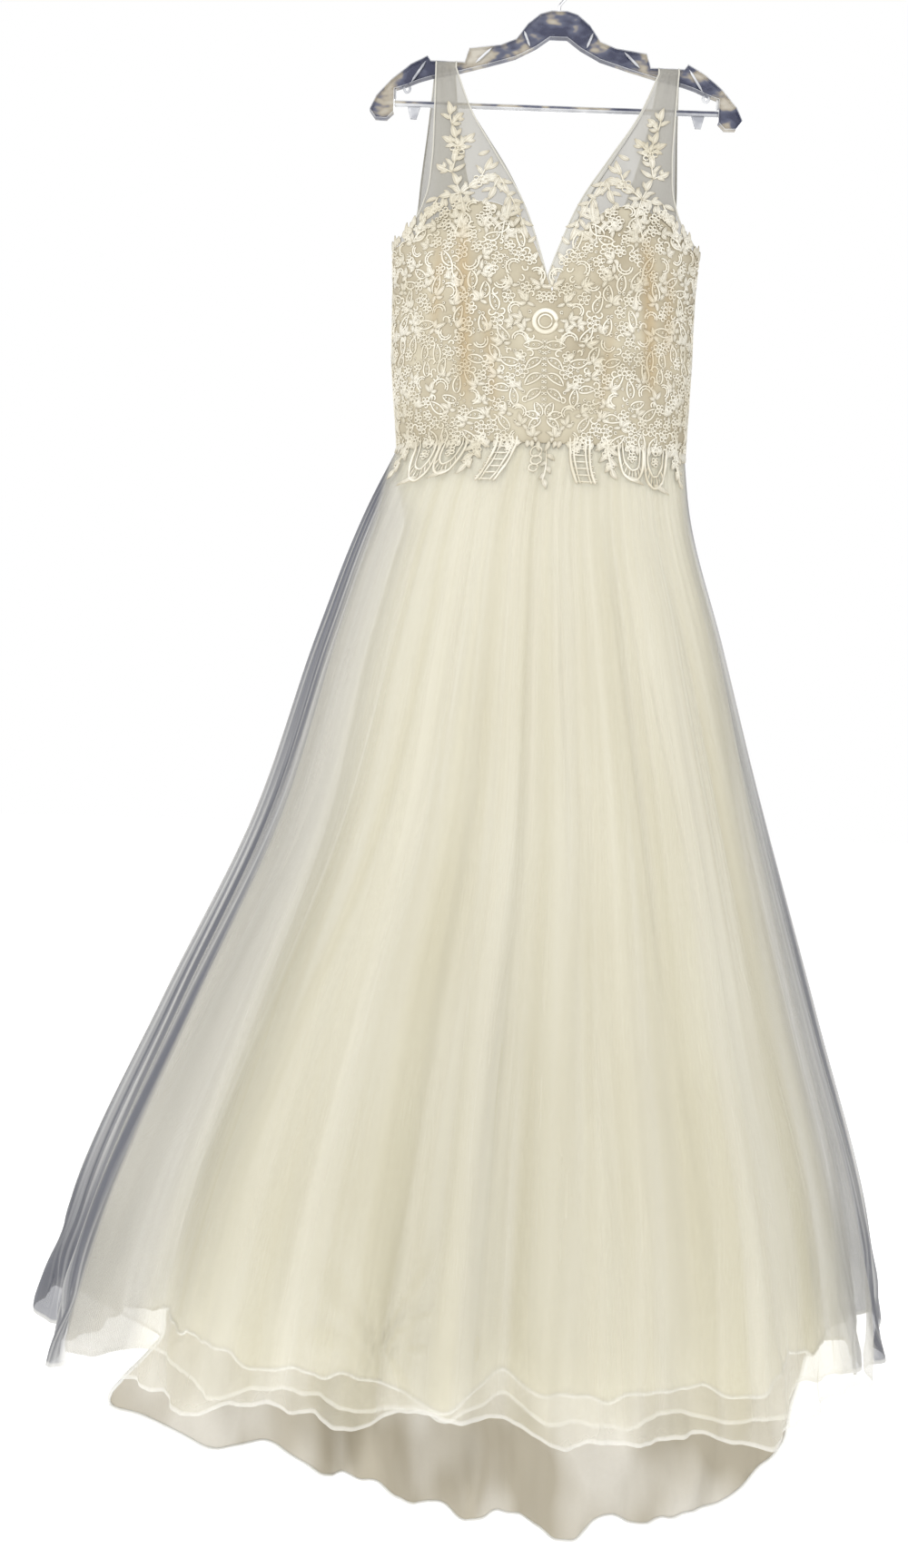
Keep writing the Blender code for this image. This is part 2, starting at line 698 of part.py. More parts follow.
def lace_sheet(name, side, outlines, materials, collection):
    """Lace cut to the outlines' union, laid on the dress and given its wall outwards."""
    bm = flat_union(outlines)
    keep_largest(bm)
    thin_out(bm)
    part_pinches(bm)
    keep_largest(bm)
    flat = np.array([v.co[:2] for v in bm.verts])
    # A little more room where the cloth under the lace folds, below the waist, or curves in, on the yoke
    clearance = LACE_CLEARANCE + 0.0007 * smooth_step((WAIST - flat[:, 1]) / 0.02)
    clearance += 0.0008 * smooth_step((flat[:, 1] + 0.345) / 0.015)
    spots = lace_point(side, flat[:, 0] / PANEL_WIDTH + 0.5, flat[:, 1], clearance[:, None])
    for point, spot in zip(bm.verts, spots):
        point.co = spot
    bm.normal_update()
    if sum(f.normal.dot(outward_hint(f)) * f.calc_area() for f in bm.faces) < 0:
        bmesh.ops.reverse_faces(bm, faces=bm.faces)
    mesh = bpy.data.meshes.new(name)
    bm.to_mesh(mesh)
    bm.free()
    made = new_object(name, mesh, materials["lace"], collection)
    give_wall(made, LACE_WALL, 1)
    return made


def mirrored(outlines):
    return outlines + [[(-p[0], p[1]) for p in reversed(outline)] for outline in outlines]


def make_lace_front(materials, collection):
    right = vine_outlines(*vine(0.0, 0.19, lambda x: through(SWEETHEART, x * 0.93)))
    for distance, length, width, curl in DROPS[1:]:
        right.append(pendant((distance, WAIST + 0.026), length + 0.026, width, curl))
    for x0, z0, x1, z1 in YOKE_LEAVES:
        start = (x0 * SPRAY_SPREAD, z0 - 0.003)
        right.append(leaf(start, (x1 * SPRAY_SPREAD, z1), LEAF_WIDTH * 0.85, 0.0015))
    right.append(flower((0.1095 * SPRAY_SPREAD, -0.232), FLOWER_RADIUS * 0.8, 0.2))
    right.append(flower((0.083 * SPRAY_SPREAD, -0.274), FLOWER_RADIUS * 0.8, 0.9))
    right += border(0.19)
    distance, length, width, curl = DROPS[0]
    outlines = mirrored(right) + [pendant((distance, WAIST + 0.026), length + 0.026, width, curl)]
    return lace_sheet("lace_front", -1, outlines, materials, collection)


def border(end):
    """The band of small leaves, end to end, that hides the waist seam."""
    step = 0.0235
    count = int(end / step)
    leaves = []
    for i in range(count):
        tilt = 0.005 if i % 2 else 0.0
        start = (i * step - 0.004, -0.561 - tilt)
        leaves.append(leaf(start, (start[0] + step + 0.008, -0.566 + tilt), 0.013))
    return leaves


def make_lace_back(name, half, materials, collection):
    outlines = vine_outlines(*vine(0.020, 0.19, lambda x: through(BACK_EDGE, x * 0.93)))
    for distance, length, width, curl in DROPS[1:]:
        outlines.append(pendant((distance, WAIST + 0.026), length + 0.026, width, curl))
    outlines += [[(p[0] + 0.014, p[1]) for p in one] for one in border(0.17)]
    if half < 0:
        outlines = [[(-p[0], p[1]) for p in reversed(one)] for one in outlines]
    return lace_sheet(name, 1, outlines, materials, collection)


def make_zip(materials, collection):
    """A concealed zip: its tape lies inside the centre back seam, with the slider closed at the top."""
    top = BACK_POINT - 0.003
    inside = BODICE_WALL + SEAM_GAP

    def place(across, down):
        share = 0.5 + (across - 0.5) * ZIP_WIDTH / PANEL_WIDTH
        spots = body_point(1, share, top + (WAIST - top) * down)
        spots[:, 1] -= inside
        return spots

    sheet("zip_tape", 2, np.linspace(0, 1, 7), place, ZIP_WALL, materials["satin"], collection)
    bpy.ops.mesh.primitive_cube_add(size=1.0)
    slider = bpy.context.object
    slider.name = "zip_slider"
    slider.data.transform(Matrix.Diagonal((*SLIDER_SIZE, 1.0)))
    seat = body_point(1, 0.5, top - SLIDER_SIZE[2])
    depth = inside + ZIP_WALL + SEAM_GAP + SLIDER_SIZE[1] / 2
    slider.location = (seat[0], seat[1] - depth - 0.0004, top - SLIDER_SIZE[2])
    slider.data.materials.append(materials["steel"])
    rounded = slider.modifiers.new("rounded", "BEVEL")
    rounded.width = 0.0006
    rounded.segments = 2
    for home in list(slider.users_collection):
        home.objects.unlink(slider)
    collection.objects.link(slider)


# Right half of the hanger's outline, from the neck round the arm to the middle of its underside
HANGER_OUTLINE = (
    (0.009, NECK_TOP),
    (0.022, -0.060),
    (0.036, -0.072),
    (0.049, -0.090),
    (0.067, -0.0975),
    (0.103, -0.1023),
    (0.108, ARM_REST),
    (0.147, ARM_REST),
    (0.151, -0.1130),
    (0.170, -0.1234),
    (0.192, -0.1415),
    (0.209, -0.1610),
    (0.216, -0.1765),
    (0.209, -0.1862),
    (0.196, -0.1866),
    (LOBE_INSIDE, -0.1785),
    (LOBE_INSIDE, -0.1520),
    (0.176, -0.1480),
    (0.160, -0.1410),
    (0.146, -0.1365),
    (0.112, -0.1290),
    (0.083, -0.1210),
    (0.049, -0.1106),
    (0.026, -0.0983),
    (0.010, -0.0865),
)


def make_hanger(materials, collection):
    outline = bpy.data.curves.new("hanger_outline", "CURVE")
    outline.dimensions = "2D"
    outline.fill_mode = "BOTH"
    outline.extrude = ARM_HALF_THICKNESS
    spline = outline.splines.new("POLY")
    points = list(HANGER_OUTLINE) + [(-x, z) for x, z in reversed(HANGER_OUTLINE)]
    spline.points.add(len(points) - 1)
    for point, (x, z) in zip(spline.points, points):
        point.co = (x, z, 0.0, 1.0)
    spline.use_cyclic_u = True
    flat = bpy.data.objects.new("hanger_outline", outline)
    flat.rotation_euler.x = math.pi / 2
    collection.objects.link(flat)
    bpy.context.view_layer.update()
    seen = flat.evaluated_get(bpy.context.evaluated_depsgraph_get())
    mesh = bpy.data.meshes.new_from_object(seen)
    mesh.materials.clear()
    bm = bmesh.new()
    bm.from_mesh(mesh)
    bmesh.ops.remove_doubles(bm, verts=bm.verts, dist=0.00001)
    bmesh.ops.recalc_face_normals(bm, faces=bm.faces)
    for way in (1, -1):
        bmesh.ops.dissolve_faces(bm, faces=[f for f in bm.faces if f.normal.z * way > 0.9])
        flank = [f for f in bm.faces if f.normal.z * way > 0.9]
        bmesh.ops.inset_region(
            bm, faces=flank, thickness=RIB_WIDTH, depth=-RECESS_DEPTH, use_even_offset=True
        )
    bm.to_mesh(mesh)
    bm.free()
    body = new_object("hanger_body", mesh, materials["clear_plastic"], collection)
    body.matrix_world = flat.matrix_world
    bpy.data.objects.remove(flat)

    bpy.ops.mesh.primitive_cylinder_add(
        vertices=12, radius=BAR_RADIUS, depth=2 * (LOBE_INSIDE - SEAM_GAP),
        location=(0, 0, BAR_DROP), rotation=(0, math.pi / 2, 0),
    )
    bar = bpy.context.object
    bar.name = "hanger_bar"
    bar.data.materials.append(materials["clear_plastic"])
    for home in list(bar.users_collection):
        home.objects.unlink(bar)
    collection.objects.link(bar)


def hook_route():
    """Up out of the neck, round the right and over the top, to an end on the left."""
    radius = HOOK_INNER_RADIUS + HOOK_WIRE / 2
    middle = -HOOK_INNER_RADIUS
    first, last = math.radians(-58), math.radians(196)
    start = Vector((radius * math.cos(first), 0, middle + radius * math.sin(first)))
    foot = Vector((0, 0, NECK_TOP + SEAM_GAP))
    bend = [foot, foot + Vector((0, 0, 0.006))]
    for i in range(1, 5):
        t = i / 5
        low, high = bend[1], start
        lean = Vector((-math.sin(first), 0, math.cos(first))) * 0.012
        up = Vector((0, 0, 0.009))
        a = (2 * t**3 - 3 * t**2 + 1) * low + (t**3 - 2 * t**2 + t) * up
        b = (3 * t**2 - 2 * t**3) * high + (t**3 - t**2) * lean
        bend.append(a + b)
    turns = 15
    for i in range(turns + 1):
        angle = first + (last - first) * i / turns
        bend.append(Vector((radius * math.cos(angle), 0, middle + radius * math.sin(angle))))
    return bend


def make_hook(materials, collection):
    wire = bpy.data.curves.new("hanger_hook", "CURVE")
    wire.dimensions = "3D"
    wire.bevel_depth = HOOK_WIRE / 2
    wire.bevel_resolution = 2
    wire.use_fill_caps = True
    spline = wire.splines.new("POLY")
    route = hook_route()
    spline.points.add(len(route) - 1)
    for point, spot in zip(spline.points, route):
        point.co = (*spot, 1.0)
    new_object("hanger_hook", wire, materials["steel"], collection)


def main():
    clear_scene()
    collection = bpy.data.collections.new("wedding_dress")
    bpy.context.scene.collection.children.link(collection)
    materials = {name: make_material(name) for name in MATERIALS}
    make_hanger(materials, collection)
    make_hook(materials, collection)
    make_bodice_front(materials, collection)
    for word, half in (("left", -1), ("right", 1)):
        make_bodice_back(f"bodice_back_{word}", half, materials, collection)
        make_yoke(f"yoke_front_{word}", -1, half, materials, collection)
        make_yoke(f"yoke_back_{word}", 1, half, materials, collection)
        make_lace_back(f"lace_back_{word}", half, materials, collection)
    make_lace_front(materials, collection)
    make_skirt(materials, collection)
    make_zip(materials, collection)


main()
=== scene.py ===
import math

import bpy
import numpy as np
from mathutils import Matrix, Vector


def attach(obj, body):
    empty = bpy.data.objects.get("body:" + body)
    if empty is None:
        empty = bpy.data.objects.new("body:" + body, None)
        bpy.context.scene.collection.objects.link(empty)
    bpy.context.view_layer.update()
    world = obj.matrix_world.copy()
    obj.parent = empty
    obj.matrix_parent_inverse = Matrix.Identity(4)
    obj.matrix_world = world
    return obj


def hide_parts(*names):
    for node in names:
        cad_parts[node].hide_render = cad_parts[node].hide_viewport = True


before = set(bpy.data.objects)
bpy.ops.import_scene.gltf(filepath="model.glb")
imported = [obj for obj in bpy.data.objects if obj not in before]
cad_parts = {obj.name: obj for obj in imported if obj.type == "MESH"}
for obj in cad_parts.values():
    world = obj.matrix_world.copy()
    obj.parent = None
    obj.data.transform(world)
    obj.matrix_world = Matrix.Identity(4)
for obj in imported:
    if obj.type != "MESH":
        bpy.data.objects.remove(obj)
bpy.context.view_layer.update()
print("frame loaded,", len(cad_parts), "nodes")

tau = 2 * math.pi
front, back = -1, 1

# Heights are measured down from the hook's bend, in metres
dress = {
    "waist": -0.568,
    "sideTop": -0.343,      # top of the side seam
    "neckPoint": -0.402,    # bottom of the front V
    "backPoint": -0.452,    # bottom of the back V
    "strapInner": 0.120,    # strap edges where it crosses the hanger
    "strapOuter": 0.141,
    "armRest": -0.1187,     # floor of the hanger's notch
    "armHalf": 0.0055,
    "seamGap": 0.0003,
    "seamY": 0.00025,
    "planPower": 2.4,       # 2 is an ellipse, more is squarer at the sides
    "panelWidth": 0.42,     # girth of the front or back of the bodice
}
# height, half width, centre, front depth, back depth
bodySections = (
    (-0.1000, 0.1900, 0.000, 0.0060, 0.0060),
    (-0.1250, 0.1900, 0.000, 0.0075, 0.0075),
    (-0.1700, 0.1890, -0.001, 0.0210, 0.0190),
    (-0.2500, 0.1850, -0.003, 0.0480, 0.0380),
    (-0.3200, 0.1790, -0.006, 0.0680, 0.0500),
    (-0.3800, 0.1745, -0.007, 0.0760, 0.0560),
    (-0.4600, 0.1730, -0.007, 0.0690, 0.0570),
    (dress["waist"], 0.1665, -0.004, 0.0600, 0.0560),
)
# height, half width, centre, front depth, back depth of the outermost tulle
skirtSections = (
    (dress["waist"], 0.1665, -0.004, 0.0600, 0.0560),
    (-0.6300, 0.1850, -0.015, 0.0760, 0.0700),
    (-0.7860, 0.2350, -0.021, 0.1150, 0.1020),
    (-0.9970, 0.2970, -0.025, 0.1730, 0.1500),
    (-1.2080, 0.3760, -0.042, 0.2280, 0.1980),
    (-1.4190, 0.4510, -0.055, 0.2780, 0.2380),
    (-1.5900, 0.4820, -0.061, 0.3050, 0.2620),
    (-1.7500, 0.4760, -0.052, 0.3200, 0.2800),
    (-1.9700, 0.4600, -0.040, 0.3300, 0.2900),
)
# share of the way across from the left side seam, height of the lining's hem at the back
trainHem = (
    (0.00, -1.600), (0.05, -1.665), (0.10, -1.742), (0.16, -1.812), (0.23, -1.848), (0.35, -1.908),
    (0.50, -1.943), (0.62, -1.952), (0.76, -1.905), (0.87, -1.820), (0.94, -1.690), (1.00, -1.598),
)
# share of the way across, rise of the front hem above its ends
frontHemRise = (
    (0.00, 0.000), (0.10, 0.014), (0.28, 0.006), (0.40, 0.008), (0.485, 0.030),
    (0.55, 0.004), (0.68, -0.012), (0.80, -0.008), (0.92, 0.010), (1.00, 0.000),
)
# The train's left corner, which swings out and forward
trainCorner = {"share": 0.085, "width": 0.075, "top": -1.585, "growth": 0.13, "out": 0.105, "forward": 0.045}
# distance from the centre, height of the top edges
sweetheart = (
    (0.000, dress["neckPoint"]), (0.010, -0.377), (0.022, -0.350), (0.036, -0.326), (0.055, -0.308),
    (0.080, -0.300), (0.110, -0.306), (0.140, -0.322), (0.160, -0.335), (0.190, dress["sideTop"]),
)
backEdge = (
    (0.000, dress["backPoint"]), (0.030, -0.436), (0.070, -0.410),
    (0.110, -0.384), (0.150, -0.360), (0.190, dress["sideTop"]),
)
# height, half width of the V between the sheer yokes
frontNeckline = (
    (dress["armRest"], dress["strapInner"]), (-0.190, 0.094), (-0.243, 0.066),
    (-0.302, 0.035), (-0.370, 0.010), (dress["neckPoint"], 0.0),
)
backNeckline = (
    (dress["armRest"], dress["strapInner"]), (-0.200, 0.108), (-0.290, 0.082),
    (-0.370, 0.045), (dress["backPoint"], 0.0),
)
# height, distance from the centre of the armhole edge; the back strap shows just outside the front one
frontArmhole = (
    (dress["armRest"], dress["strapOuter"]), (-0.190, 0.1375), (-0.245, 0.1360),
    (-0.290, 0.1400), (-0.318, 0.1510), (dress["sideTop"], 0.1755),
)
backArmhole = (
    (dress["armRest"], dress["strapOuter"]), (-0.190, 0.1450), (-0.245, 0.1485),
    (-0.290, 0.1520), (-0.318, 0.1600), (dress["sideTop"], 0.1755),
)
# How far each layer lies inside the outermost: at the waist, at each side and in depth a hand below
# it, and at the hem's sides, front and back. hemShare is how much of the front hem's rise it takes,
# backReach how much of the train, and cornerRise how far the hem rises at the side seams.
layers = {
    "tulleOuter": {
        "number": 0, "waist": 0.0, "leftTop": 0.0, "rightTop": 0.0, "depthTop": 0.0,
        "left": 0.0, "right": 0.0, "front": 0.0, "back": 0.0,
        "hem": -1.594, "hemShare": 1.0, "backReach": 0.84, "cornerRise": 0.038,
    },
    "tulleUnder": {
        "number": 1, "waist": 0.0016, "leftTop": 0.016, "rightTop": 0.002, "depthTop": 0.004,
        "left": 0.062, "right": 0.030, "front": 0.019, "back": 0.014,
        "hem": -1.584, "hemShare": 0.7, "backReach": 0.76, "cornerRise": -0.018,
    },
    "lining": {
        "number": 2, "waist": 0.0032, "leftTop": 0.048, "rightTop": 0.005, "depthTop": 0.009,
        "left": 0.132, "right": 0.060, "front": 0.045, "back": 0.030,
        "hem": -1.568, "hemShare": 0.4, "backReach": 1.0, "cornerRise": 0.0,
    },
}


# A smooth curve through a table's rows: cubic Hermite pieces with the rows' own average slopes
def through(table, where, column=1):
    rows = np.array(sorted(table), float)
    knots, values = rows[:, 0], rows[:, column]
    slopes = np.gradient(values, knots)
    place = np.clip(np.asarray(where, float), knots[0], knots[-1])
    i = np.clip(np.searchsorted(knots, place) - 1, 0, len(knots) - 2)
    step = knots[i + 1] - knots[i]
    t = (place - knots[i]) / step
    return (
        (2 * t**3 - 3 * t**2 + 1) * values[i]
        + (t**3 - 2 * t**2 + t) * step * slopes[i]
        + (3 * t**2 - 2 * t**3) * values[i + 1]
        + (t**3 - t**2) * step * slopes[i + 1]
    )


# Root of one less the cosine's power: the plan's depth, 0 at a side seam and 1 in the middle
def planDepth(cosine):
    return np.sqrt(np.clip(1 - np.abs(cosine) ** dress["planPower"], 0, 1))


# t squared times three less two t, held between 0 and 1
def smoothStep(t):
    t = np.clip(t, 0, 1)
    return t * t * (3 - 2 * t)


def bell(value, middle, width):  # exp of minus the squared distance in widths
    return np.exp(-(((value - middle) / width) ** 2))


def aimed(angle):  # flat unit vectors at these angles
    return np.stack([np.cos(angle), np.sin(angle)], -1)


# Angles round half of the plan that share its length evenly, from the running length of 721 points
planAngles = np.linspace(0, math.pi, 721)
planRun = np.concatenate([[0], np.cumsum(np.hypot(
    np.diff(-np.cos(planAngles)), np.diff(0.6 * planDepth(np.cos(planAngles)))))])
planShares = planRun / planRun[-1]


def angleAt(share):
    return np.interp(share, planShares, planAngles)


# Soft troughs down the cups: middle, how far it leans out for each metre down, width, depth,
# and the heights between which it shows
bodiceTroughs = (
    (-0.104, 0.05, 0.0075, 0.0042, -0.315, -0.540),
    (-0.128, -0.03, 0.0060, 0.0026, -0.330, -0.470),
    (-0.078, 0.14, 0.0065, 0.0022, -0.400, -0.560),
    (0.102, 0.08, 0.0080, 0.0040, -0.320, -0.530),
    (0.132, 0.02, 0.0065, 0.0024, -0.345, -0.500),
    (0.070, -0.10, 0.0060, 0.0020, -0.420, -0.555),
)


# The sum of the troughs, each a bell across times a smooth rise and fall down its length
def troughDepth(x, z, table=bodiceTroughs):
    total = np.zeros_like(x)
    for middle, lean, width, depth, high, low in table:
        down = smoothStep((high - z) / 0.05) * smoothStep((z - low) / 0.06)
        total = total + depth * bell(x, middle + lean * (high - z), width) * down
    return total


# Body outline at this height: x from the cosine of the angle, y from the plan's depth, the cups'
# bells added and the troughs taken off at the front
def bodyPoint(side, share, height, creased=True):
    share, height = np.broadcast_arrays(np.asarray(share, float), np.asarray(height, float))
    cosine = np.cos(angleAt(share))
    half = through(bodySections, height, 1)
    x = through(bodySections, height, 2) - half * cosine
    depth = through(bodySections, height, 3 if side < 0 else 4) * planDepth(cosine)
    if side < 0:
        cups = 0.017 * bell(np.abs(x + 0.004), 0.083, 0.052) * bell(height, -0.352, 0.058)
        depth = depth + cups * smoothStep(planDepth(cosine) * 1.6)
        if creased:
            depth = depth - troughDepth(x, height)
    elif creased:
        ripple = 0.0016 * np.sin(tau * (5 * share + 0.4 * np.sin(9 * height)))
        depth = depth - ripple * smoothStep((-0.36 - height) / 0.1) * smoothStep((height + 0.565) / 0.05)
    return np.stack([x, side * (depth + dress["seamY"]), height], -1)


# The share of the way across at which sections have this x: the angle whose cosine gives it
def shareAt(sections, x, height):
    half = through(sections, height, 1)
    cosine = np.clip((through(sections, height, 2) - x) / half, -1, 1)
    return np.interp(np.arccos(cosine), planAngles, planShares)


skirtFolds = {
    "main": 10,             # large folds on each side of the skirt
    "gathers": 46,          # small pleats that the waist seam holds
    "gatherDepth": 0.0021,
    "gatherFade": 0.13,     # share of the skirt's length over which they die away
    "streaks": 27,          # soft folds between the large ones
    "streakDepth": 0.0034,
}
# Folds of the front, given one by one: share at the top and at the hem, share of the length where it
# starts and ends, half width as a share, depth (above 0 stands out)
frontCreases = (
    (0.470, 0.480, 0.02, 0.70, 0.006, 0.0040),
    (0.395, 0.330, 0.05, 0.98, 0.009, 0.0060),
    (0.345, 0.262, 0.10, 1.00, 0.007, -0.0050),
    (0.560, 0.590, 0.02, 0.55, 0.006, 0.0042),
    (0.590, 0.640, 0.30, 1.00, 0.010, 0.0075),
    (0.650, 0.705, 0.05, 0.90, 0.008, -0.0055),
    (0.715, 0.780, 0.12, 1.00, 0.009, 0.0060),
    (0.280, 0.205, 0.03, 0.80, 0.007, 0.0045),
    (0.505, 0.512, 0.52, 1.00, 0.0065, 0.0110),
    (0.440, 0.425, 0.35, 0.95, 0.007, -0.0050),
    (0.800, 0.850, 0.05, 0.95, 0.008, 0.0050),
    (0.210, 0.140, 0.30, 1.00, 0.007, 0.0048),
)
backCreases = (
    (0.300, 0.260, 0.04, 0.90, 0.008, 0.0060),
    (0.420, 0.400, 0.10, 1.00, 0.009, -0.0065),
    (0.500, 0.505, 0.03, 1.00, 0.007, 0.0080),
    (0.590, 0.630, 0.08, 1.00, 0.010, 0.0070),
    (0.700, 0.760, 0.20, 0.95, 0.008, -0.0055),
    (0.180, 0.120, 0.15, 1.00, 0.007, 0.0050),
    (0.820, 0.880, 0.05, 0.92, 0.008, 0.0060),
)


# Folds that all layers share: a sine whose phase wanders, deeper towards the hem, and at the front
# two wide bells that press the cloth in at its middle and near the left side
def mainFolds(side, share, drop):
    wander = 0.34 * np.sin(tau * (1.7 * share + (0.1 if side < 0 else 0.35)))
    wave = np.sin(tau * (skirtFolds["main"] * share + wander))
    strength = 0.72 + 0.28 * np.sin(tau * (3.1 * share + 0.2 * side))
    depth = (0.0014 * smoothStep(drop / 0.09) + 0.0135 * drop**1.3) * wave * strength
    if side < 0:
        pressed = 0.060 * bell(share, 0.485, 0.037) + 0.030 * bell(share, 0.17, 0.030)
        depth = depth - pressed * smoothStep((drop - 0.35) / 0.65)
    return depth


# A snag near the front's hem: share and drop of its middle, reach in metres, depth, number of creases
snag = {"share": 0.43, "drop": 0.925, "reach": 0.075, "depth": 0.0055, "rays": 9}


# Creases that run out from the snag: a cosine round it that dies away with the distance
def snagCreases(side, share, drop):
    if side > 0:
        return np.zeros_like(share)
    across, down = (share - snag["share"]) * 1.5, (drop - snag["drop"]) * 1.03
    away, turn = np.hypot(across, down), np.arctan2(down, across)
    rays = np.cos(snag["rays"] * turn + 0.8 * np.sin(2 * turn))
    return snag["depth"] * rays * bell(away, 0.3 * snag["reach"], snag["reach"])


# Folds of one layer: gathers that fade from the waist, always outwards, soft streaks, slow waves
# and the listed creases, as bells along straight lines in share and drop
def ownFolds(layer, side, share, drop):
    n = layer["number"]
    turn = (7 + 2 * n) * share + 0.31 * n + 0.13 * side
    slow = 0.0045 * smoothStep((drop - 0.12) / 0.6) * np.sin(tau * turn)
    uneven = 0.5 + 0.5 * np.sin(tau * (4.3 * share + 0.7 * n)) * np.sin(tau * (1.9 * share + 0.2))
    turn = skirtFolds["gathers"] * share + 0.8 * np.sin(tau * 2.3 * share) + 0.25 * n
    fade = smoothStep(drop / 0.012) * np.exp(-drop / (skirtFolds["gatherFade"] * (0.5 + uneven)))
    gathers = skirtFolds["gatherDepth"] * (0.5 + 0.5 * np.sin(tau * turn)) * fade
    if n == 2:
        return slow + 0.3 * gathers
    turn = skirtFolds["streaks"] * share + 0.9 * np.sin(tau * 1.4 * share + 0.8 * n) + 0.12 * np.sin(tau * drop)
    streaks = np.sin(tau * turn) * np.sin(tau * (5.1 * share + 0.6 * drop + 0.3 * n)) ** 2
    streaks = skirtFolds["streakDepth"] * streaks * smoothStep(drop / 0.25) * (0.35 + 0.65 * drop)
    creases = snagCreases(side, share, drop) * (n == 0)
    for top, low, start, end, width, depth in frontCreases if side < 0 else backCreases:
        line = top + (low - top) * drop + 0.004 * np.sin(9 * drop + 31 * top) + 0.012 * n
        shows = smoothStep((drop - start) / 0.15) * smoothStep((end + 0.04 - drop) / 0.12)
        creases = creases + depth * bell(share, line, width * (1.3 - 0.4 * drop)) * shows
    return slow + gathers + streaks + creases * (1.0 if n == 0 else 0.5)


# Crumples near the hem: four sines that cross each other, rising over the last tenth
def hemCrumple(layer, side, share, drop):
    a = np.sin(tau * (17 * share + 5.0 * drop + 0.3 * layer["number"]))
    b = np.sin(tau * (29 * share - 7.0 * drop + 0.17))
    c = np.sin(tau * (8 * share + 1.5 * drop + 0.4 * side))
    d = np.sin(tau * (43 * share + 9.0 * drop + 0.6 * layer["number"]))
    size = (0.0068, 0.0056, 0.0020)[layer["number"]]
    return size * (0.6 * a + 0.4 * b + 0.7 * c * a + 0.35 * d * b) * smoothStep((drop - 0.84) / 0.16)


# Height of a layer's hem: its own level, its share of the front's rise or of the train, and a ripple
def hemHeight(layer, side, share):
    still = smoothStep(np.minimum(share, 1 - share) / 0.06)
    n = layer["number"]
    ripple = 0.006 * np.sin(tau * (6 * share + 0.2)) + 0.0030 * np.sin(tau * (13.3 * share + 0.31 * n))
    ripple = (ripple + 0.0022 * np.sin(tau * (27 * share + 0.57 * n)) * np.sin(tau * 3.7 * share)) * still
    corners = layer["cornerRise"] * bell(np.minimum(share, 1 - share), 0.0, 0.09)
    if side < 0:
        return layer["hem"] + layer["hemShare"] * through(frontHemRise, share) + corners + ripple
    train = through(trainHem, share) - trainHem[0][1]
    if layer["backReach"] < 1:
        train = train * layer["backReach"] * smoothStep((share - 0.04) / 0.30)
        train = train * smoothStep((0.97 - share) / 0.28)
    return layer["hem"] + train + corners + ripple


# Left and right edge, and depth, of a layer at this height
def layerOutline(layer, side, z):
    fallen = dress["waist"] - dress["seamGap"] - z
    early, late = smoothStep(fallen / 0.10), smoothStep(fallen / 0.95)
    half, centre = through(skirtSections, z, 1), through(skirtSections, z, 2)
    leftIn = layer["waist"] + layer["leftTop"] * early + (layer["left"] - layer["leftTop"]) * late
    rightIn = layer["waist"] + layer["rightTop"] * early + (layer["right"] - layer["rightTop"]) * late
    atHem = layer["front" if side < 0 else "back"]
    depthIn = layer["waist"] + layer["depthTop"] * early + (atHem - layer["depthTop"]) * late
    depth = through(skirtSections, z, 3 if side < 0 else 4) - depthIn
    return centre - half + leftIn, centre + half - rightIn, depth


# A skirt layer: the plan outline between its edges at this height, pushed along the plan's normal
# by the folds, which are read at the outermost layer's share so that they line up
def skirtPoint(layer, side, share, drop, fine=True):
    share, drop = np.broadcast_arrays(np.asarray(share, float), np.asarray(drop, float))
    top = dress["waist"] - dress["seamGap"]
    z = top + (hemHeight(layer, side, share) - top) * drop
    leftX, rightX, depth = layerOutline(layer, side, z)

    def outline(at):
        cosine = np.cos(angleAt(at))
        x = (leftX + rightX) / 2 - (rightX - leftX) / 2 * cosine
        return x, side * (depth * planDepth(cosine) + dress["seamY"])

    near, far = np.clip(share - 0.004, 0, 1), np.clip(share + 0.004, 0, 1)
    (x0, y0), (x1, y1), (x, y) = outline(near), outline(far), outline(share)
    alongX, alongY = x1 - x0, y1 - y0
    length = np.hypot(alongX, alongY)
    outer = share if layer["number"] == 0 else shareAt(skirtSections, x, z)
    push = mainFolds(side, outer, drop)
    if fine:
        push = push + ownFolds(layer, side, outer, drop) + hemCrumple(layer, side, share, drop)
    push = push * smoothStep(np.minimum(share, 1 - share) / 0.05) * -side
    x, y = x - alongY / length * push, y + alongX / length * push
    if side > 0 and layer["backReach"] == 1:
        corner = trainCorner
        swing = bell(share, corner["share"], corner["width"]) * smoothStep(share / 0.04)
        swing = swing * smoothStep((corner["top"] - z) / corner["growth"])
        x, y = x - corner["out"] * swing, y - corner["forward"] * swing
    return np.stack([x, y, z], -1)


# The outermost cloth at this height: the bodice, or the top tulle below the waist
def outerPoint(side, share, height):
    share, height = np.broadcast_arrays(np.asarray(share, float), np.asarray(height, float))
    body = bodyPoint(side, share, height)
    layer = layers["tulleOuter"]
    drop = (height - dress["waist"]) / (hemHeight(layer, side, share) - dress["waist"])
    skirt = skirtPoint(layer, side, share, np.clip(drop, 0, 1))
    return np.where((height >= dress["waist"])[..., None], body, skirt)


# A point of the outermost cloth moved out along the cross product of its two directions
def lacePoint(side, share, height, clearance):
    h = 0.004
    across = outerPoint(side, share + h, height) - outerPoint(side, share - h, height)
    down = outerPoint(side, share, height - h) - outerPoint(side, share, height + h)
    outward = np.cross(down, across) if side < 0 else np.cross(across, down)
    outward = outward / np.linalg.norm(outward, axis=-1, keepdims=True)
    return outerPoint(side, share, height) + outward * clearance[..., None]


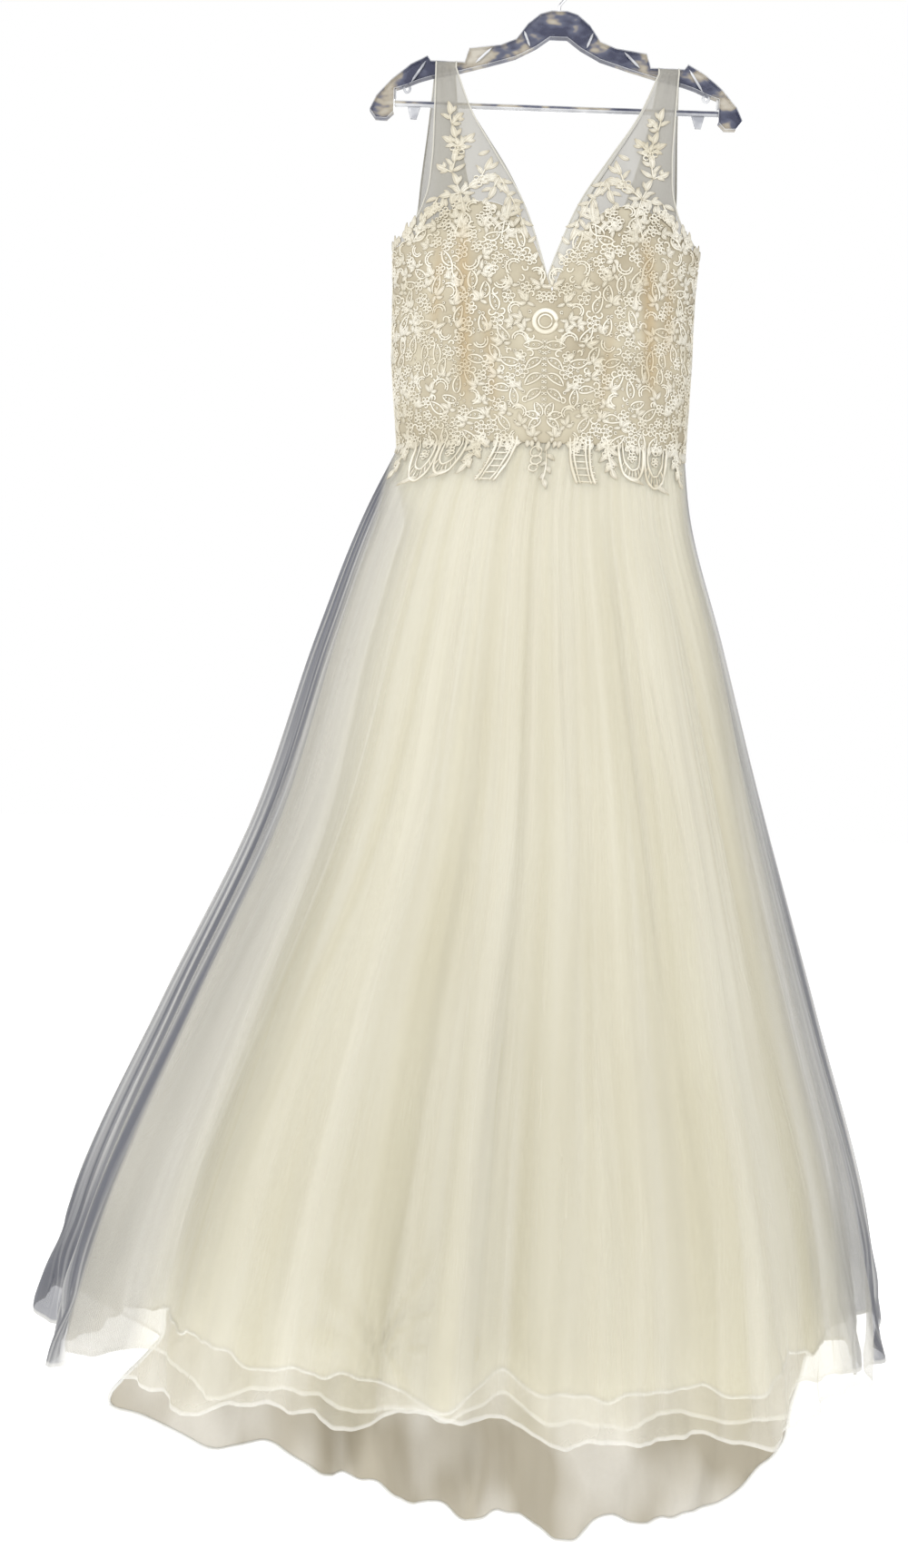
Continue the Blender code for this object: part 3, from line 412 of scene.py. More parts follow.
# Quads of a grid of points, row by row; turned swaps their direction, ring joins the last column
def gridQuads(rows, columns, turned=False, ring=False):
    r, c = np.meshgrid(np.arange(rows - 1), np.arange(columns if ring else columns - 1), indexing="ij")
    a, b = r * columns + c, r * columns + (c + 1) % columns
    order = [a, a + columns, b + columns, b] if turned else [a, b, b + columns, a + columns]
    return np.stack(order, -1).reshape(-1, 4)


def newPiece(name, points, quads, material, uv=None, values=None, node=None):
    mesh = bpy.data.meshes.new(name)
    points, quads = np.asarray(points, np.float32).reshape(-1, 3), np.asarray(quads, np.int32)
    mesh.vertices.add(len(points))
    mesh.vertices.foreach_set("co", points.ravel())
    mesh.loops.add(quads.size)
    mesh.loops.foreach_set("vertex_index", quads.ravel())
    mesh.polygons.add(len(quads))
    mesh.polygons.foreach_set("loop_start", np.arange(0, quads.size, 4, dtype=np.int32))
    mesh.update(calc_edges=True)
    if uv is not None:
        layer = mesh.uv_layers.new(name="flat")
        layer.data.foreach_set("uv", np.asarray(uv, np.float32).reshape(-1, 2)[quads.ravel()].ravel())
    for word, numbers in (values or {}).items():
        data = mesh.attributes.new(word, "FLOAT", "POINT").data
        data.foreach_set("value", np.asarray(numbers, np.float32).ravel())
    mesh.shade_smooth()
    mesh.materials.append(material)
    piece = bpy.data.objects.new(name, mesh)
    bpy.context.scene.collection.objects.link(piece)
    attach(piece, "root")
    if node:
        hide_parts(*([node] if isinstance(node, str) else node))
    return piece


def addWall(piece, thickness, offset=-1):
    wall = piece.modifiers.new("wall", "SOLIDIFY")
    wall.thickness, wall.offset, wall.use_even_offset = thickness, offset, False


# A round tube: rings across the path, from its direction and the given outward direction
def tubePoints(path, outward, radius, sides=8):
    along = np.gradient(path, axis=0)
    along /= np.linalg.norm(along, axis=-1, keepdims=True)
    out = outward - along * (outward * along).sum(-1, keepdims=True)
    out /= np.linalg.norm(out, axis=-1, keepdims=True)
    aside = np.cross(along, out)
    turn = np.arange(sides) * tau / sides
    ring = out[:, None] * np.cos(turn)[None, :, None] + aside[:, None] * np.sin(turn)[None, :, None]
    return path[:, None] + ring * np.reshape(radius, (-1, 1, 1))


# Tubes one after another in one mesh, their ends drawn in to a point
def newTubes(name, paths, outwards, radius, material, sides=8):
    allPoints, allQuads, allUv, start = [], [], [], 0
    for path, outward in zip(paths, outwards):
        radii = np.full(len(path), radius)
        radii[[0, -1]] = radius * 0.15
        points = tubePoints(path, outward, radii, sides)
        run = np.concatenate([[0], np.cumsum(np.linalg.norm(np.diff(path, axis=0), axis=-1))])
        uv = np.stack(np.broadcast_arrays(run[:, None], np.arange(sides)[None] * radius), -1)
        allPoints.append(points.reshape(-1, 3))
        allQuads.append(gridQuads(len(path), sides, ring=True) + start)
        allUv.append(uv.reshape(-1, 2))
        start += points.shape[0] * sides
    points, quads, uv = (np.concatenate(many) for many in (allPoints, allQuads, allUv))
    return newPiece(name, points, quads, material, uv)


# Node helpers: a chain of shader nodes on one material
class Nodes:
    def __init__(self, name, roughness, **sockets):
        self.material = bpy.data.materials.new(name)
        self.material.use_nodes = True
        self.tree = self.material.node_tree
        self.shader = self.tree.nodes["Principled BSDF"]
        self.set(self.shader, Roughness=roughness, **sockets)

    def set(self, node, **sockets):
        for word, value in sockets.items():
            node.inputs[word.replace("_", " ")].default_value = value

    def add(self, kind, settings=None, **sockets):
        node = self.tree.nodes.new("ShaderNode" + kind)
        for word, value in (settings or {}).items():
            setattr(node, word, value)
        self.set(node, **sockets)
        return node

    def link(self, source, target):
        self.tree.links.new(source, target)

    def coordinates(self, source="Object", scale=(1, 1, 1), turn=0.0):
        place = self.add("TexCoord")
        mapping = self.add("Mapping", Scale=scale, Rotation=(0, 0, turn))
        self.link(place.outputs[source], mapping.inputs["Vector"])
        return mapping.outputs["Vector"]

    def noise(self, where, scale, detail=3.0, roughness=0.5):
        node = self.add("TexNoise", Scale=scale, Detail=detail, Roughness=roughness)
        self.link(where, node.inputs["Vector"])
        return node.outputs["Fac"]

    def ramp(self, value, stops):
        node = self.add("ValToRGB")
        ends = node.color_ramp.elements
        while len(ends) < len(stops):
            ends.new(0.5)
        for end, (place, colour) in zip(ends, stops):
            end.position, end.color = place, (*colour, 1.0)
        self.link(value, node.inputs["Fac"])
        return node.outputs["Color"]

    def mix(self, share, a, b, how="MIX"):
        node = self.add("Mix", {"data_type": "RGBA", "blend_type": how})
        for word, value in (("Factor", share), ("A", a), ("B", b)):
            kind = "VALUE" if word == "Factor" else "RGBA"
            socket = next(s for s in node.inputs if s.name == word and s.type == kind)
            if isinstance(value, bpy.types.NodeSocket):
                self.link(value, socket)
            else:
                socket.default_value = value if word == "Factor" else (*value, 1.0)
        return next(s for s in node.outputs if s.type == "RGBA")

    def math(self, how, a, b, clamp=False):
        node = self.add("Math", {"operation": how, "use_clamp": clamp})
        for i, value in enumerate((a, b)):
            if isinstance(value, bpy.types.NodeSocket):
                self.link(value, node.inputs[i])
            else:
                node.inputs[i].default_value = value
        return node.outputs[0]

    def attribute(self, word):
        return self.add("Attribute", {"attribute_name": word}).outputs["Fac"]

    def bump(self, height, strength, distance):
        node = self.add("Bump", Strength=strength, Distance=distance)
        self.link(height, node.inputs["Height"])
        self.link(node.outputs["Normal"], self.shader.inputs["Normal"])


# Two waves across each other, as the threads of a plain weave, threads a metre apart by 1 / count
def weave(nodes, where, count):
    waves = []
    for way in "XY":
        bands = {"wave_type": "BANDS", "bands_direction": way}
        waves.append(nodes.add("TexWave", bands, Scale=count / 6.283, Distortion=0.4))
        nodes.link(where, waves[-1].inputs["Vector"])
    return nodes.math("MAXIMUM", *(wave.outputs["Fac"] for wave in waves))


def satinMaterial(name, light, dark, roughness=0.5, patch=(0.32, 0.68)):
    nodes = Nodes(name, roughness, Sheen_Weight=0.25, Sheen_Roughness=0.4, Specular_IOR_Level=0.35)
    patches = nodes.noise(nodes.coordinates(scale=(1, 1, 0.6)), 7.0, 2.0)
    fine = nodes.noise(nodes.coordinates(), 160.0, 3.0)
    colour = nodes.ramp(patches, ((patch[0], dark), (patch[1], light)))
    colour = nodes.mix(nodes.math("MULTIPLY", fine, 0.16), colour, dark)
    nodes.link(colour, nodes.shader.inputs["Base Color"])
    nodes.bump(weave(nodes, nodes.coordinates("UV"), 1600), 0.25, 0.0003)
    return nodes.material


# Net: a fine mesh of cells in the alpha. Colour and alpha have three places each: over the lining, past
# its edge, and past the next layer's edge, which the attributes pastLining and rim give; the greyer and
# darker colours past these edges are painted shade, the dark seen through net that nothing backs. It is
# thinner and paler where it turns to the side. Soft light and dark streaks run down the cloth as painted
# light and shade of its folds, the valleys of its folds are darker as painted shade, and hems are paler
# and denser.
def netMaterial(name, colours, alphas, edge, cell=900):
    nodes = Nodes(name, 0.8, Sheen_Weight=0.2, Sheen_Roughness=0.5, Specular_IOR_Level=0.2)
    pastLining, rim, hem, fold = (nodes.attribute(word) for word in ("pastLining", "rim", "hem", "fold"))
    side = nodes.math("MULTIPLY", rim, fold)
    broad = nodes.noise(nodes.coordinates("UV", scale=(15, 0.75, 1)), 1.0, 2.0, 0.55)
    narrow = nodes.noise(nodes.coordinates("UV", scale=(55, 1.1, 1)), 1.0, 2.0, 0.55)
    cloud = nodes.noise(nodes.coordinates(), 7.0, 3.0)
    # Painted light and shade: broad streaks lighter and darker than the cream stand in for the soft folds
    over = nodes.ramp(broad, (
        (0.34, tuple(c * k for c, k in zip(colours[0], (0.93, 0.915, 0.85)))), (0.50, colours[0]),
        (0.66, tuple(min(1.0, c * 1.06) for c in colours[0])),
    ))
    # Painted shade: darker in the fold valleys, where ridge is low
    valleyShade = tuple(c * k for c, k in zip(colours[0], (0.88, 0.865, 0.79)))
    over = nodes.mix(nodes.ramp(nodes.attribute("ridge"), ((0.25, (1, 1, 1)), (0.55, (0, 0, 0)))), over, valleyShade)
    # Painted shade: greyer past the lining's edge and darker past the next layer's, the dark seen through net
    # that nothing backs
    colour = nodes.mix(rim, nodes.mix(pastLining, over, colours[1]), colours[2])
    # Painted light: pale streaks on the net past the edges stand in for lit folds
    streakLight = nodes.math("MULTIPLY", nodes.math("SUBTRACT", narrow, 0.50, clamp=True), 5.0, clamp=True)
    outside = nodes.math("MAXIMUM", rim, nodes.math("MULTIPLY", pastLining, 0.5))
    colour = nodes.mix(nodes.math("MULTIPLY", streakLight, nodes.math("MULTIPLY", outside, 0.6)), colour, edge)
    # Painted shade: dark streaks past the next layer's edge stand in for shaded folds
    streakShade = nodes.math("MULTIPLY", nodes.math("SUBTRACT", 0.47, narrow, clamp=True), 6.0, clamp=True)
    streakShade = nodes.math("MULTIPLY", streakShade, nodes.math("MULTIPLY", rim, 0.7))
    colour = nodes.mix(streakShade, colour, (0.16, 0.165, 0.20))
    colour = nodes.mix(nodes.math("MULTIPLY", side, 0.65), colour, colours[1])
    colour = nodes.mix(nodes.math("MULTIPLY", hem, 0.9), colour, edge)
    nodes.link(colour, nodes.shader.inputs["Base Color"])
    cells = nodes.add("TexVoronoi", {"feature": "DISTANCE_TO_EDGE"}, Scale=float(cell), Randomness=0.35)
    nodes.link(nodes.coordinates("UV"), cells.inputs["Vector"])
    thread = nodes.math("LESS_THAN", cells.outputs["Distance"], 0.16)
    alpha = nodes.math("ADD", alphas[0], nodes.math("MULTIPLY", pastLining, alphas[1] - alphas[0]))
    alpha = nodes.math("ADD", alpha, nodes.math("MULTIPLY", rim, alphas[2] - alphas[1]))
    vary = nodes.math("ADD", nodes.math("MULTIPLY", broad, 0.45), nodes.math("MULTIPLY", narrow, 0.35))
    vary = nodes.math("ADD", vary, nodes.math("MULTIPLY", cloud, 0.2))
    vary = nodes.math("ADD", vary, nodes.math("MULTIPLY", thread, 0.25))
    alpha = nodes.math("MULTIPLY", alpha, nodes.math("ADD", vary, 0.42))
    alpha = nodes.math("MULTIPLY", alpha, nodes.math("SUBTRACT", 1.0, nodes.math("MULTIPLY", side, 0.6)))
    alpha = nodes.math("ADD", alpha, nodes.math("MULTIPLY", nodes.math("SUBTRACT", fold, side), 0.25))
    alpha = nodes.math("ADD", alpha, nodes.math("MULTIPLY", hem, 0.45), clamp=True)
    nodes.link(alpha, nodes.shader.inputs["Alpha"])
    return nodes.material


def laceMaterial():
    nodes = Nodes("laceThread", 0.62, Sheen_Weight=0.3, Sheen_Roughness=0.35, Specular_IOR_Level=0.4)
    patches = nodes.noise(nodes.coordinates(), 24.0, 2.0)
    fine = nodes.noise(nodes.coordinates(), 420.0, 2.0)
    bright = nodes.ramp(patches, ((0.34, (0.78, 0.73, 0.59)), (0.60, (0.96, 0.935, 0.84))))
    # Painted light and shade: the tops of cords and leaves bright and their low feet dark, by their relief's
    # height
    reliefShade = nodes.ramp(nodes.attribute("reliefShade"), ((0.20, (0, 0, 0)), (0.85, (1, 1, 1))))
    colour = nodes.mix(reliefShade, (0.47, 0.41, 0.29), bright)
    # Painted shade: golden beige down the cups' troughs
    colour = nodes.mix(nodes.math("MULTIPLY", nodes.attribute("shade"), 0.7), colour, (0.66, 0.54, 0.35))
    colour = nodes.mix(nodes.math("MULTIPLY", fine, 0.2), colour, (0.70, 0.64, 0.50))
    nodes.link(colour, nodes.shader.inputs["Base Color"])
    bands = {"wave_type": "BANDS", "bands_direction": "DIAGONAL"}
    thread = nodes.add("TexWave", bands, Scale=260.0, Distortion=1.5)
    nodes.link(nodes.coordinates("UV"), thread.inputs["Vector"])
    nodes.bump(thread.outputs["Fac"], 0.35, 0.0004)
    return nodes.material


# The cloth under the lace: beige net over lining, its own colour darkened as painted shade between the
# lace's motifs, and golden down the troughs as painted shade
def bodiceMaterial():
    nodes = Nodes("bodiceCloth", 0.6, Sheen_Weight=0.2, Sheen_Roughness=0.4, Specular_IOR_Level=0.3)
    patches = nodes.noise(nodes.coordinates(), 16.0, 3.0)
    # Painted shade: the cloth's beige kept dark, as shade between the lace's motifs
    colour = nodes.ramp(patches, ((0.3, (0.42, 0.365, 0.26)), (0.7, (0.60, 0.55, 0.42))))
    # Painted shade: golden down the troughs
    colour = nodes.mix(nodes.attribute("shade"), colour, (0.50, 0.40, 0.25))
    nodes.link(colour, nodes.shader.inputs["Base Color"])
    cells = nodes.add("TexVoronoi", {"feature": "DISTANCE_TO_EDGE"}, Scale=800.0, Randomness=0.3)
    nodes.link(nodes.coordinates("UV"), cells.inputs["Vector"])
    nodes.bump(cells.outputs["Distance"], 0.4, 0.0003)
    return nodes.material


# Clear plastic: pale rims, and floors of the recess painted dark navy as shade, with tan cloudy patches.
# The two are told apart by the distance from a middle plane across one axis.
def plasticMaterial(name, axis, middle, rimFrom):
    nodes = Nodes(name, 0.12, IOR=1.46, Specular_IOR_Level=0.6, Coat_Weight=0.4, Coat_Roughness=0.06)
    cloudy = nodes.noise(nodes.coordinates(scale=(1, 1, 1.8)), 17.0, 3.0, 0.62)
    parts = nodes.add("SeparateXYZ")
    nodes.link(nodes.coordinates(), parts.inputs[0])
    away = nodes.math("ABSOLUTE", nodes.math("SUBTRACT", parts.outputs[axis], middle), 0.0)
    rim = nodes.math("GREATER_THAN", away, rimFrom)
    # Painted shade: the recess floors dark navy, with tan cloudy patches
    inner = nodes.ramp(cloudy, (
        (0.40, (0.035, 0.04, 0.085)), (0.50, (0.11, 0.12, 0.18)),
        (0.56, (0.42, 0.37, 0.29)), (0.66, (0.60, 0.56, 0.48)),
    ))
    outer = nodes.ramp(cloudy, ((0.35, (0.40, 0.41, 0.45)), (0.6, (0.80, 0.81, 0.83))))
    nodes.link(nodes.mix(rim, inner, outer), nodes.shader.inputs["Base Color"])
    nodes.link(nodes.math("ADD", nodes.math("MULTIPLY", rim, 0.05), 0.86), nodes.shader.inputs["Alpha"])
    nodes.bump(nodes.noise(nodes.coordinates(), 90.0, 2.0), 0.1, 0.0006)
    return nodes.material


def steelMaterial():
    nodes = Nodes("polishedWire", 0.25, Metallic=1.0)
    streaks = nodes.noise(nodes.coordinates(scale=(1, 1, 12)), 220.0, 2.0)
    colour = nodes.ramp(streaks, ((0.3, (0.52, 0.52, 0.55)), (0.7, (0.78, 0.78, 0.79))))
    nodes.link(colour, nodes.shader.inputs["Base Color"])
    nodes.link(nodes.math("ADD", nodes.math("MULTIPLY", streaks, 0.2), 0.14), nodes.shader.inputs["Roughness"])
    return nodes.material


materials = {
    "lining": satinMaterial("liningSatin", (0.88, 0.845, 0.70), (0.80, 0.75, 0.575)),
    # The train's light and dark patches, at random places, are partly its tone and partly painted shade and
    # light that stand in for its soft shading
    "train": satinMaterial("trainSatin", (0.88, 0.84, 0.75), (0.57, 0.515, 0.40), patch=(0.42, 0.60)),
    "hem": satinMaterial("rolledHem", (0.97, 0.965, 0.93), (0.93, 0.92, 0.87)),
    "binding": satinMaterial("edgeBinding", (0.70, 0.68, 0.61), (0.60, 0.58, 0.51)),
    # The nets' second and third colours, greyer and darker than their cream, are painted shade where no lining
    # or next layer backs them
    "outer": netMaterial(
        "outerNet", ((0.88, 0.85, 0.73), (0.70, 0.68, 0.61), (0.135, 0.14, 0.165)),
        (0.30, 0.30, 0.78), (0.90, 0.89, 0.85)),
    "under": netMaterial(
        "underNet", ((0.89, 0.855, 0.73), (0.75, 0.72, 0.635), (0.50, 0.50, 0.495)),
        (0.34, 0.66, 0.72), (0.94, 0.93, 0.89)),
    "yoke": netMaterial(
        "yokeNet", ((0.40, 0.385, 0.345),) * 3, (0.68,) * 3, (0.84, 0.83, 0.76)),
    "lace": laceMaterial(),
    "bodice": bodiceMaterial(),
    "plastic": plasticMaterial("clearPlastic", "Y", 0.0, 0.0045),
    "bar": plasticMaterial("clearBar", "Z", -0.1675, 0.0013),
    "rib": plasticMaterial("clearRib", "Y", 0.0, -1.0),
    "steel": steelMaterial(),
    "zip": satinMaterial("zipTape", (0.84, 0.80, 0.68), (0.70, 0.65, 0.53)),
}
print("materials made")


def hangerLooks():
    for node, word in (
        ("hanger_body", "plastic"), ("hanger_bar", "bar"), ("hanger_hook", "steel"),
        ("zip_tape", "zip"), ("zip_slider", "steel"),
    ):
        for slot in bpy.data.objects[node].material_slots:
            slot.material = materials[word]


# Small parts moulded on the hanger, as distance from the middle and height: a rib inside each arm's
# recess, a curled catch at the bar's end, and a flat tab under the bar
hangerParts = {
    "ribs": (
        ((0.077, -0.1010), (0.095, -0.1185)), ((0.153, -0.1190), (0.169, -0.1440)),
        ((0.040, -0.080), (0.033, -0.0975)),
    ),
    "catch": (
        (0.1870, -0.1640), (0.1870, -0.1520), (0.1850, -0.1460), (0.1810, -0.1440), (0.1775, -0.1465),
        (0.1768, -0.1510), (0.1745, -0.1545), (0.1712, -0.1535), (0.1700, -0.1500), (0.1715, -0.1470),
    ),
    "tab": ((0.157, -0.1722), (0.172, -0.1722), (0.1685, -0.1860), (0.1615, -0.1860)),
    "radius": 0.0015,
}


# Ribs and catches as tubes on both faces, tabs as thin plates
def makeHangerParts():
    paths = []
    for way in (-1, 1):
        for (x0, z0), (x1, z1) in hangerParts["ribs"]:
            for face in (-1, 1):
                t = np.linspace(0, 1, 6)[:, None]
                ends = np.array([[way * x0, face * 0.0034, z0], [way * x1, face * 0.0034, z1]])
                paths.append(ends[0] + (ends[1] - ends[0]) * t)
        t = np.linspace(0, len(hangerParts["catch"]) - 1, 40)
        table = [(i, *knot) for i, knot in enumerate(hangerParts["catch"])]
        paths.append(np.stack([way * through(table, t, 1), np.zeros(40), through(table, t, 2)], -1))
    outward = [np.broadcast_to(np.array([0.0, -1.0, 0.0]), path.shape) for path in paths]
    newTubes("hangerRibs", paths, outward, hangerParts["radius"], materials["rib"], sides=8)
    a, b, c, d = np.array(hangerParts["tab"])
    u, v = np.meshgrid(np.linspace(0, 1, 7), np.linspace(0, 1, 7))
    flat = (a + (b - a) * u[..., None]) * (1 - v[..., None]) + (d + (c - d) * u[..., None]) * v[..., None]
    for way, word in ((-1, "Left"), (1, "Right")):
        points = np.stack([way * flat[..., 0], np.full(u.shape, -0.001), flat[..., 1]], -1)
        quads = gridQuads(7, 7, turned=way > 0)
        tab = newPiece("hangerTab" + word, points, quads, materials["rib"], flat)
        addWall(tab, 0.002, 0)


# Grid sizes of the skirt: columns, rows
skirtGrid = {
    ("tulleOuter", front): (400, 110), ("tulleOuter", back): (240, 90),
    ("tulleUnder", front): (260, 80), ("tulleUnder", back): (200, 70),
    ("lining", front): (200, 80), ("lining", back): (240, 110),
}
satinWall = 0.0007
clothArea = {}


# Evenly spaced to near the hem, then close rows for the hem's edge
def hemRows(count):
    return np.concatenate([np.linspace(0, 0.995, count - 4), [0.9965, 0.998, 0.9991, 1.0]])


def gridArea(points):
    a = np.cross(points[1:, :-1] - points[:-1, :-1], points[:-1, 1:] - points[:-1, :-1])
    b = np.cross(points[1:, :-1] - points[1:, 1:], points[:-1, 1:] - points[1:, 1:])
    return float((np.linalg.norm(a, axis=-1) + np.linalg.norm(b, axis=-1)).sum() / 2)


# How far a point lies past another layer's edge at its height: 0 over it, 1 past it, and the band
# between as wide as soft
def pastEdge(points, word, soft):
    left, right, _ = layerOutline(layers[word], front, points[..., 2])
    past = np.maximum(left - points[..., 0], points[..., 0] - right)
    return smoothStep(past / soft + 0.5)


# How steeply a grid's cloth turns away from the front, from 0 to 1: the normal's share off Y
def steepness(points):
    across, down = np.gradient(points, axis=1), np.gradient(points, axis=0)
    normal = np.cross(across, down)
    normal /= np.linalg.norm(normal, axis=-1, keepdims=True) + 1e-12
    return smoothStep((1 - np.abs(normal[..., 1]) - 0.25) / 0.75)


def skirtLayer(word, side):
    layer = layers[word]
    columns, rows = skirtGrid[(word, side)]
    share = np.linspace(0, 1, columns)[None]
    drop = hemRows(rows)[:, None]
    points = skirtPoint(layer, side, share, drop)
    if word == "lining" and side == back:
        points = wrinkleTrain(points, share, drop)
    hemWidth = float(np.linalg.norm(np.diff(points[-1], axis=0), axis=-1).sum())
    uv = np.stack(np.broadcast_arrays(share * hemWidth, drop * 1.05), -1)
    area = gridArea(points)
    ends = ("front", "back")[side == back]
    node = {"tulleOuter": "tulle_outer", "tulleUnder": "tulle_under", "lining": "lining"}[word] + "_" + ends
    hem = np.broadcast_to(smoothStep((drop - 0.9945) / 0.003), points.shape[:2])
    seam = smoothStep((0.0040 - np.minimum(share, 1 - share)) / 0.002)
    # pastLining marks net past the lining's edge, and rim net past the next layer's edge; the net's colour
    # greys both as painted shade
    pastLining = pastEdge(points, "lining", 0.028)
    rim = np.zeros(pastLining.shape)
    if word == "tulleOuter":
        rim = pastEdge(points, "tulleUnder", 0.008)
    elif word == "tulleUnder":
        # Painted shade: the under net greyer at the right
        rim = pastLining * smoothStep((points[..., 0] - 0.22) / 0.08)  # greyer at the right
    turned = steepness(points) * smoothStep((drop - 0.01) / 0.1)
    values = {
        "pastLining": pastLining,
        "rim": rim,
        "hem": np.maximum(0.75 * hem, 0.8 * seam),
        "fold": turned * (1 - 0.8 * smoothStep((drop - 0.80) / 0.12)),
        # The fold's height, whose valleys the net's colour darkens as painted shade
        "ridge": np.clip(0.5 + ownFolds(layer, side, share + 0 * drop, drop + 0 * share) / 0.016, 0, 1),
    }
    finish = {"tulleOuter": "outer", "tulleUnder": "under", "lining": "lining"}[word]
    material = materials["train" if word == "lining" and side == back else finish]
    name = word + ends.capitalize()
    quads = gridQuads(rows, columns, turned=side < 0)
    piece = newPiece(name, points, quads, material, uv, values, node)
    if word == "lining":
        addWall(piece, satinWall)
    length = float(dress["waist"] - points[..., 2].min()) * 1.05
    clothArea[name] = (round(hemWidth, 3), round(length, 3), area)
    return points[-1]


# The train's own wrinkles: soft patches where the satin lies in and out, deeper towards the hem
trainWrinkles = (
    # share, drop, half width as share, half length as drop, depth
    (0.16, 0.93, 0.030, 0.06, 0.016), (0.26, 0.90, 0.022, 0.05, -0.014), (0.33, 0.95, 0.018, 0.05, 0.015),
    (0.40, 0.90, 0.026, 0.07, -0.016), (0.47, 0.96, 0.014, 0.04, 0.018), (0.53, 0.90, 0.030, 0.06, 0.012),
    (0.60, 0.94, 0.022, 0.06, -0.018), (0.67, 0.88, 0.024, 0.05, 0.014), (0.74, 0.94, 0.026, 0.05, 0.014),
    (0.82, 0.88, 0.020, 0.06, -0.015), (0.88, 0.94, 0.022, 0.05, 0.012), (0.09, 0.88, 0.018, 0.06, -0.012),
)


# Each wrinkle is a bell in share times a bell in drop, turned a little so that no two run alike.
# The push back stops short of the nets behind.
def wrinkleTrain(points, share, drop):
    push = np.zeros(points.shape[:2])
    for i, (middle, low, width, length, depth) in enumerate(trainWrinkles):
        turned = share - middle - (0.4 * math.sin(2.7 * i)) * (drop - low) * 0.4
        push = push + 1.5 * depth * np.exp(-((turned / width) ** 2) - ((drop - low) / length) ** 2)
    fine = np.sin(tau * (13 * share + 3.1 * drop)) * np.sin(tau * (7 * share - 2.2 * drop + 0.3))
    push = np.maximum(push + 0.0022 * fine * smoothStep((drop - 0.6) / 0.3), -0.003)
    points = points.copy()
    points[..., 1] -= push
    points[..., 2] += 0.006 * np.sin(tau * (9.3 * share + 0.2)) * smoothStep((drop - 0.9) / 0.1)
    return points


hemRadius = 0.0021


# Rolled hems along the last row of a lining
def rolledHem(name, edge, side):
    outward = np.stack([np.gradient(edge[:, 1]), -np.gradient(edge[:, 0]), np.zeros(len(edge))], -1) * -side
    newTubes(name, [edge], [outward], hemRadius, materials["hem"], sides=8)


def makeSkirt():
    edges = {}
    for word in layers:
        for side in (front, back):
            edges[(word, side)] = skirtLayer(word, side)
    rolledHem("hemRollFront", edges[("lining", front)], front)
    rolledHem("hemRollBack", edges[("lining", back)], back)
    print("skirt made", clothArea)


bodiceShell = {
    "columns": 190,
    "rows": 90,
    "thickness": 0.0022,
    "backGap": 0.0004,      # half the gap in the centre back seam, as a share
    "cutLength": 0.28,
}


def shadeAt(x, z):  # beige shading down the troughs, from their depth
    return np.clip(troughDepth(x, z) / 0.0038, 0, 1) * 0.95


def makeBodice():
    share = np.linspace(0, 1, bodiceShell["columns"])[None]
    down = np.linspace(0, 1, bodiceShell["rows"])[:, None]
    gap = bodiceShell["backGap"]
    for name, side, low, high, edge, level, node in (
        ("bodiceFront", front, 0.0, 1.0, sweetheart, -0.33, "bodice_front"),
        ("bodiceBackLeft", back, 0.0, 0.5 - gap, backEdge, -0.36, "bodice_back_left"),
        ("bodiceBackRight", back, 0.5 + gap, 1.0, backEdge, -0.36, "bodice_back_right"),
    ):
        here = low + (high - low) * share[:, :: 1 if side < 0 else 2]
        x = bodyPoint(side, here, np.full_like(here, level))[..., 0]
        top = through(edge, np.abs(x))
        points = bodyPoint(side, here, top + (dress["waist"] - top) * down)
        uv = np.stack([np.broadcast_to(here * dress["panelWidth"], points.shape[:2]), points[..., 2]], -1)
        values = {"shade": shadeAt(points[..., 0], points[..., 2]) if side < 0 else np.zeros(points.shape[:2])}
        quads = gridQuads(points.shape[0], points.shape[1], turned=side < 0)
        piece = newPiece(name, points, quads, materials["bodice"], uv, values, node)
        addWall(piece, bodiceShell["thickness"])
    print("bodice made")


def halfShare(half, across):  # share across one half, from its side seam to the centre
    share = across * (0.5 - bodiceShell["backGap"])
    return share if half < 0 else 1 - share


